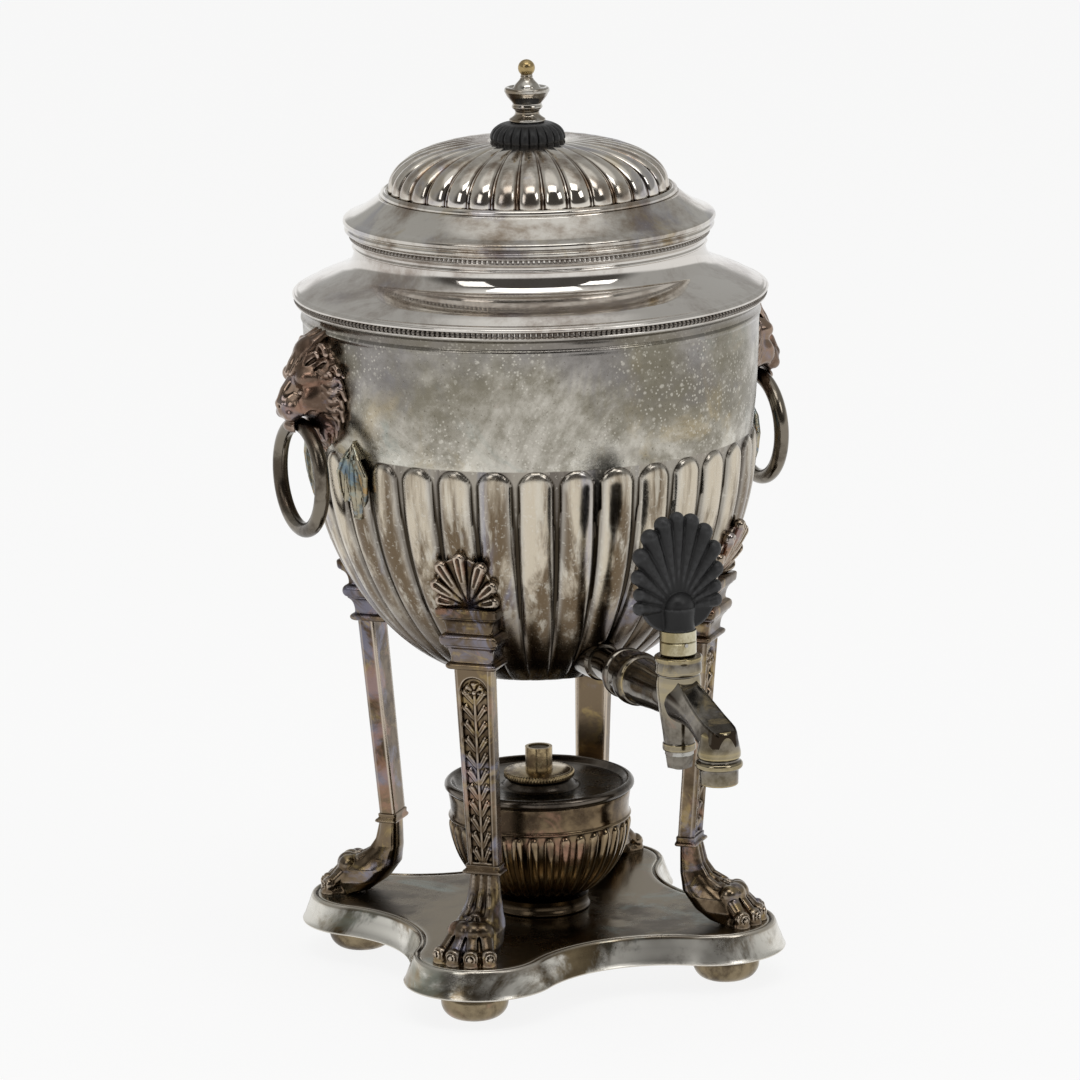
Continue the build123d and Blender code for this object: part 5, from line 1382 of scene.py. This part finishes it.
def shell_clay():
    """The scallop over a capital: seven petals with round tips, and dark gaps between their stems."""
    clay = Clay((74, -18, capital_top - 0.8), (99, 18, capital_top + 27), 0.4)

    def petal_length(turn):
        return 25.5 * (0.52 + 0.48 * np.cos(turn) ** 2)

    def sheet(x, y, z):
        face = np.abs(np.sqrt(x ** 2 + y ** 2) - bowl_reach(z) - 0.2) - 0.9
        turn = np.arctan2(np.abs(y), z - capital_top + 0.01)
        edge = np.hypot(y, z - capital_top) - petal_length(turn) + 2.2
        return np.maximum(face, edge * 0.8)

    clay.shape_by((74, -18, capital_top - 0.5), (99, 18, capital_top + 27), sheet, 0.3)
    for petal in range(-3, 4):
        swing = radians(24.6 * petal)
        length = petal_length(swing) - 2.4
        path, lifts = [], (0.6, 0.8, 1.0, 1.5, 1.9)
        for share, lift in zip((0.08, 0.32, 0.56, 0.8, 1.0), lifts):
            across, level = length * share * sin(swing), capital_top + length * share * cos(swing)
            path.append((sqrt(float(bowl_reach(level)) ** 2 - across ** 2) + lift, across, level))
        clay.strand(path, [0.6, 1.35, 2.1, 2.75, 3.0], 0.3)
        dip = [(x + out, y, z) for out, (x, y, z) in zip((2.3, 2.9, 2.7), path[2:])]
        clay.strand(dip, [0.4, 0.9, 0.9], 0.6, cut=True)
    return clay.skin()


shell_points, shell_faces = shell_clay()
shell_hollows = hollow_values(shell_points, shell_faces, 8) * 1.5
for place, turn_by in places.items():
    make_piece(
        "leg_scallop_" + place, spun(shell_points, turn_by), shell_faces, leg_bronze, "stand_and_bowl",
        replaces=("leg_shell_" + place,), slot="leg_bronze", crease=75, values={"hollow": shell_hollows},
    )


# Tap

tap_reach, outlet_reach = 138.5, 175.0
tap_line = bowl_low + 13.0


def tap_shank():
    """The shank with its two collars, running along -Y."""
    outline = softened([
        (3.5, 66.4), (6.8, 66.4), (6.9, 69), (7.2, 75, 3), (8.0, 81, 3), (9.1, 86.0, 0.6), (10.2, 86.6),
        (10.9, 87.6, 0.8),
        (10.8, 89.4, 0.8), (10.0, 90.2), (9.7, 91.2), (9.8, 96.4), (10.3, 97.0), (11.2, 97.8, 0.8),
        (11.5, 99.5, 1),
        (11.3, 102.8, 1), (10.6, 104.2), (9.9, 104.8), (9.8, 112, 2), (9.2, 120, 3), (8.8, 130), (8.6, 138),
        (3.5, 138),
        (3.5, 66.4),
    ], 0.5, 4)
    return turned_points(outline, 96, (0, 0, tap_line), forward=True), grid_faces(len(outline), 96)[:, ::-1]


def tap_housing():
    """The tapered housing that the plug turns in."""
    outline = softened(raised(tap_line, [
        (5.0, -21.9), (6.6, -21.9), (7.0, -21.2), (7.0, -18.9, 0.4), (6.5, -18.3), (6.6, -16.5, 1),
        (7.3, -11, 3),
        (8.4, -4, 3), (9.2, 2, 3), (9.4, 7, 2), (9.1, 10.2), (8.9, 10.8), (9.7, 11.5), (9.8, 12.3, 0.5),
        (9.6, 15.8, 0.6),
        (10.0, 16.9, 0.4), (10.0, 18.2, 0.4), (9.3, 18.7), (6.4, 18.7), (5.0, -21.9),
    ]), 0.4, 4)
    return turned_points(outline, 96, (0, -tap_reach, 0)), grid_faces(len(outline), 96)


def tap_spout():
    """The spout: a plain belly below, and a leaf-shaped panel on top between two sharp edges.

    Each station is its reach, the levels of its top and its foot, its half width and its panel's.
    """
    stations = [
        (139, 11.0, -9.5, 8.6, 3.6), (144, 9.6, -9.0, 8.3, 3.9), (149, 7.4, -8.7, 7.8, 4.3),
        (154, 5.0, -8.8, 7.4, 4.9),
        (159, 2.7, -9.8, 7.3, 5.3), (164, 0.6, -11.6, 7.6, 5.6), (169, -1.4, -14.0, 8.0, 5.8),
        (174, -3.0, -16.0, 8.0, 5.9),
        (178.5, -4.2, -16.0, 7.4, 5.6), (181.2, -5.2, -15.0, 6.2, 4.8), (182.6, -6.4, -13.0, 4.4, 3.4),
    ]
    reaches, *measures = zip(*stations)
    rows = []
    for reach in np.linspace(139, 182.6, 60):
        top, low, half, panel = [np.interp(reach, reaches, measure) for measure in measures]
        tall = top - low
        side = softened([
            (0, top + 0.1), (panel * 0.6, top + 0.05), (panel - 0.5, top + 0.1, 0.2),
            (panel + 0.15, top + 0.45, 0.2),
            (panel + 0.55, top - 0.2, 0.2), (half - 0.4, top - tall * 0.34, 1.5),
            (half, top - tall * 0.56, 2),
            (half * 0.82, low + tall * 0.14, 2), (half * 0.4, low + 0.1, 1.5), (0, low),
        ], 0.4, 3)
        ring = side + [(-x, z) for x, z in side[-2:0:-1]]
        rows.append([(x, -reach, tap_line + z) for x, z in ring])
    return rings_form(rows)


def tap_outlet():
    """The outlet: a bulb, a thin ring and a dark collar."""
    outline = softened(raised(tap_line, [
        (3.4, -5.0), (6.6, -5.0), (7.5, -6.5, 1), (8.3, -10.5, 2), (9.1, -14.4, 1.5), (9.0, -16.2, 0.8),
        (8.2, -17.0),
        (8.2, -17.8), (9.35, -18.2), (9.85, -19.0), (9.85, -20.2), (9.3, -20.9), (8.3, -21.2),
        (8.1, -21.8, 0.2),
        (7.9, -27.6), (7.6, -28.0), (6.0, -28.0), (5.6, -27.5), (5.4, -24), (3.4, -21), (3.4, -5.0),
    ]), 0.35, 4)
    return turned_points(outline, 96, (0, -outlet_reach, 0)), grid_faces(len(outline), 96)[:, ::-1]


tap_points, tap_faces = joined(tap_shank(), tap_housing(), tap_spout(), tap_outlet())
make_piece(
    "tap_casting", tap_points, tap_faces, tap_metal, "stand_and_bowl", replaces=("tap_body",),
    slot="tap_metal",
    crease=32, values={"hollow": hollow_values(tap_points, tap_faces, 4) * 2.4},
)


def handle_clay():
    """The black shell: thirteen ribs fanned out over a short stem."""
    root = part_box("tap_handle")[0][2] / mm + 9.6
    clay = Clay((-24, -tap_reach - 8, root - 10), (24, -tap_reach + 8, root + 42), 0.45)
    for rib in range(-6, 7):
        swing = radians((9.3 * abs(rib) + 0.75 * rib ** 2) * (1 if rib > 0 else -1))
        length = 20.5 + 20.7 * max(0.0, cos(min(pi / 2, 1.15 * abs(swing)))) ** 2
        half = radians((9.3 + 1.5 * abs(rib)) / 2)
        tip = 1.06 * length * sin(half) / (1 + sin(half))
        path, sizes = [], []
        for share in (0.06, 0.3, 0.55, 0.8, 1.0):
            far = (length - tip) * share
            path.append((far * sin(swing), -tap_reach, root - 1 + far * cos(swing)))
            sizes.append(max(0.9, far * sin(half) * 1.1 + 0.2))
        sizes[-1] = tip
        clay.strand(path, sizes, 0.25)

    def web(x, y, z):
        turn = np.abs(np.arctan2(x, z - root + 1))
        length = 20.5 + 20.7 * np.cos(np.minimum(1.15 * turn, pi / 2)) ** 2
        edge = np.hypot(x, z - root + 1) - length + 3.4 + 6 * np.clip(turn - 1.45, 0, 1)
        return np.maximum(np.abs(y + tap_reach) - 1.1, edge * 0.9)

    clay.shape_by((-23, -tap_reach - 4, root - 9), (23, -tap_reach + 4, root + 41), web, 0.3)
    clay.ball((0, -tap_reach, root), (7.0, 7.0, 6.6), 0.6)

    def stem(x, y, z):
        around = np.sqrt(x ** 2 + (y + tap_reach) ** 2) - (7.15 + 0.25 * np.cos((z - root) * 0.5))
        return np.maximum(around, np.abs(z - root + 4.8) - 4.8)

    clay.shape_by((-9, -tap_reach - 9, root - 10), (9, -tap_reach + 9, root + 1), stem, 0.4)
    return clay.skin()


handle_points, handle_faces = handle_clay()
make_piece(
    "shell_key", handle_points, handle_faces, black_horn, "tap_key", replaces=("tap_handle",), slot="black",
    crease=75, values={"hollow": hollow_values(handle_points, handle_faces, 6) * 1.6},
)


# Lamp

lamp_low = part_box("lamp_bowl")[0][2] / mm
lamp_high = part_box("lamp_bowl")[1][2] / mm


def lamp_piece():
    """The lamp's bowl: narrow raised ribs below, and a plain band with a hollow above them."""
    per_rib, ribs = 22, 34
    columns = ribs * per_rib
    angle = ring_angles(columns)
    off = lobe_offset(angle, ribs, radians(lobe_swing))
    sweep = np.linspace(0, 1, 60)
    levels = lamp_low + 7.0 + 33.6 * sweep
    base = 38.4 * np.sqrt(1 - ((lamp_low + 41.0 - levels) / 38.5) ** 2) + 0.15
    over = np.clip((levels - (lamp_low + 37.0)) / 3.4, 0, 1)
    under = np.clip((lamp_low + 11.0 - levels) / 3.4, 0, 1)
    reach = (off[None, :] / 0.66) ** 2 + (over[:, None] ** 2 + under[:, None] ** 2)
    rib = np.sqrt((1 - reach).clip(0, 1))
    ribbed = ring_points(base[:, None] + 1.5 * rib, angle, levels[:, None])
    foot = turned_points(softened([
        (0.02, lamp_low), (21.3, lamp_low), (21.5, lamp_low + 0.5), (21.2, lamp_low + 1.3),
        (20.6, lamp_low + 2.2, 0.5),
        (20.3, lamp_low + 4.0, 1), (20.8, lamp_low + 6.0),
    ], 0.4, 4), columns)
    band = turned_points(softened([
        (38.6, lamp_low + 40.9), (39.9, lamp_low + 41.2), (40.1, lamp_low + 41.9), (39.3, lamp_low + 42.5),
        (39.0, lamp_low + 44, 2), (39.2, lamp_low + 48, 2), (39.9, lamp_high - 1.2), (39.9, lamp_high),
        (37.9, lamp_high), (37.6, lamp_low + 41), (36.0, lamp_low + 30, 4), (30, lamp_low + 18, 4),
        (20.0, lamp_low + 9.0),
        (0.02, lamp_low + 9.0),
    ], 0.4, 4), columns)
    points = np.concatenate([foot, ribbed, band])
    faces = grid_faces(len(points) // columns, columns)
    # Painted shadow: the foot ring is given a hollow value, which paints it dark; elsewhere the values are the
    # real hollows.
    hollows_and_painted_foot_shadow = np.where(points[:, 2] < lamp_low + 6.5, 0.22, hollow_values(points, faces, 8))
    make_piece(
        "lamp_ribbed", points, faces, lamp_metal, "lamp", replaces=("lamp_bowl",), slot="lamp_metal",
        values={"hollow": hollows_and_painted_foot_shadow},
    )


lamp_piece()

boss_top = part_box("burner_disc")[1][2] / mm - 3.2
lamp_lid_line = softened([
    (9.05, lamp_high), (39.6, lamp_high, 0.2), (40.6, lamp_high + 0.7, 0.6), (41.6, lamp_high + 1.8, 0.9),
    (41.5, lamp_high + 3.4, 0.9), (40.2, lamp_high + 4.6, 0.9), (38.7, lamp_high + 4.5, 0.9),
    (37.6, lamp_high + 3.2, 0.7),
    (36.4, lamp_high + 2.2, 2), (30.0, lamp_high + 1.4, 3), (17.6, lamp_high + 1.2, 0.8),
    (16.4, lamp_high + 1.9, 0.5),
    (15.6, lamp_high + 3.0, 1), (14.6, boss_top - 1.1, 0.5), (13.8, boss_top - 0.4, 0.3), (13.6, boss_top),
    (9.05, boss_top), (9.05, lamp_high),
], 0.4, 5)
turned("lamp_lid", lamp_lid_line, lamp_top_metal, "lamp", 180, replaces=("lamp_top",), slot="lamp_metal")


def burner_piece():
    """The burner's disc with its milled edge."""
    sides = 360
    angle = ring_angles(sides)
    outline = np.array([
        (6.0, -8), (9.0, -8), (9.0, 0), (14.6, 0), (15.1, 0.25), (15.35, 0.7), (15.35, 2.3), (15.0, 2.8),
        (14.2, 3.05), (13.6, 2.95), (13.2, 3.15), (6.0, 3.2), (6.0, -8),
    ])
    radius, rise, number = outline[:, :1], outline[:, 1:], np.arange(len(outline))[:, None]
    milled = 0.17 * np.cos(angle * 72 + rise * 1.2) * ((number >= 4) & (number <= 8))
    points = ring_points(radius + milled, angle, boss_top + rise)
    faces = grid_faces(len(outline), sides)
    make_piece(
        "burner_milled", points, faces, burner_brass, "burner", replaces=("burner_disc",), slot="lamp_metal",
        values={"hollow": hollow_values(points, faces, 3)},
    )


burner_piece()


# Nodes shown as they are in the CAD model: the longest key that starts a node's name gives its material

carried = {
    "foot_": foot_bronze, "ring_": ring_bronze, "tap_": tap_metal, "plug_ferrule": ferrule_metal,
    "wick_tube": burner_brass, "wick": wick_cotton, "lid_bezel": lid_silver, "lid_nut": plain_steel,
    "lid_bolt": plain_steel, "lid_washer": plain_steel, "leg_studs": plain_steel, "handle_pin": plain_steel,
    "plug_nut": tap_metal, "plug_washer": plain_steel,
}
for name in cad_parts:
    matches = [key for key in carried if name.startswith(key)]
    node = bpy.data.objects.get(name)
    if matches and node:
        for slot in node.material_slots:
            slot.material = carried[max(matches, key=len)]
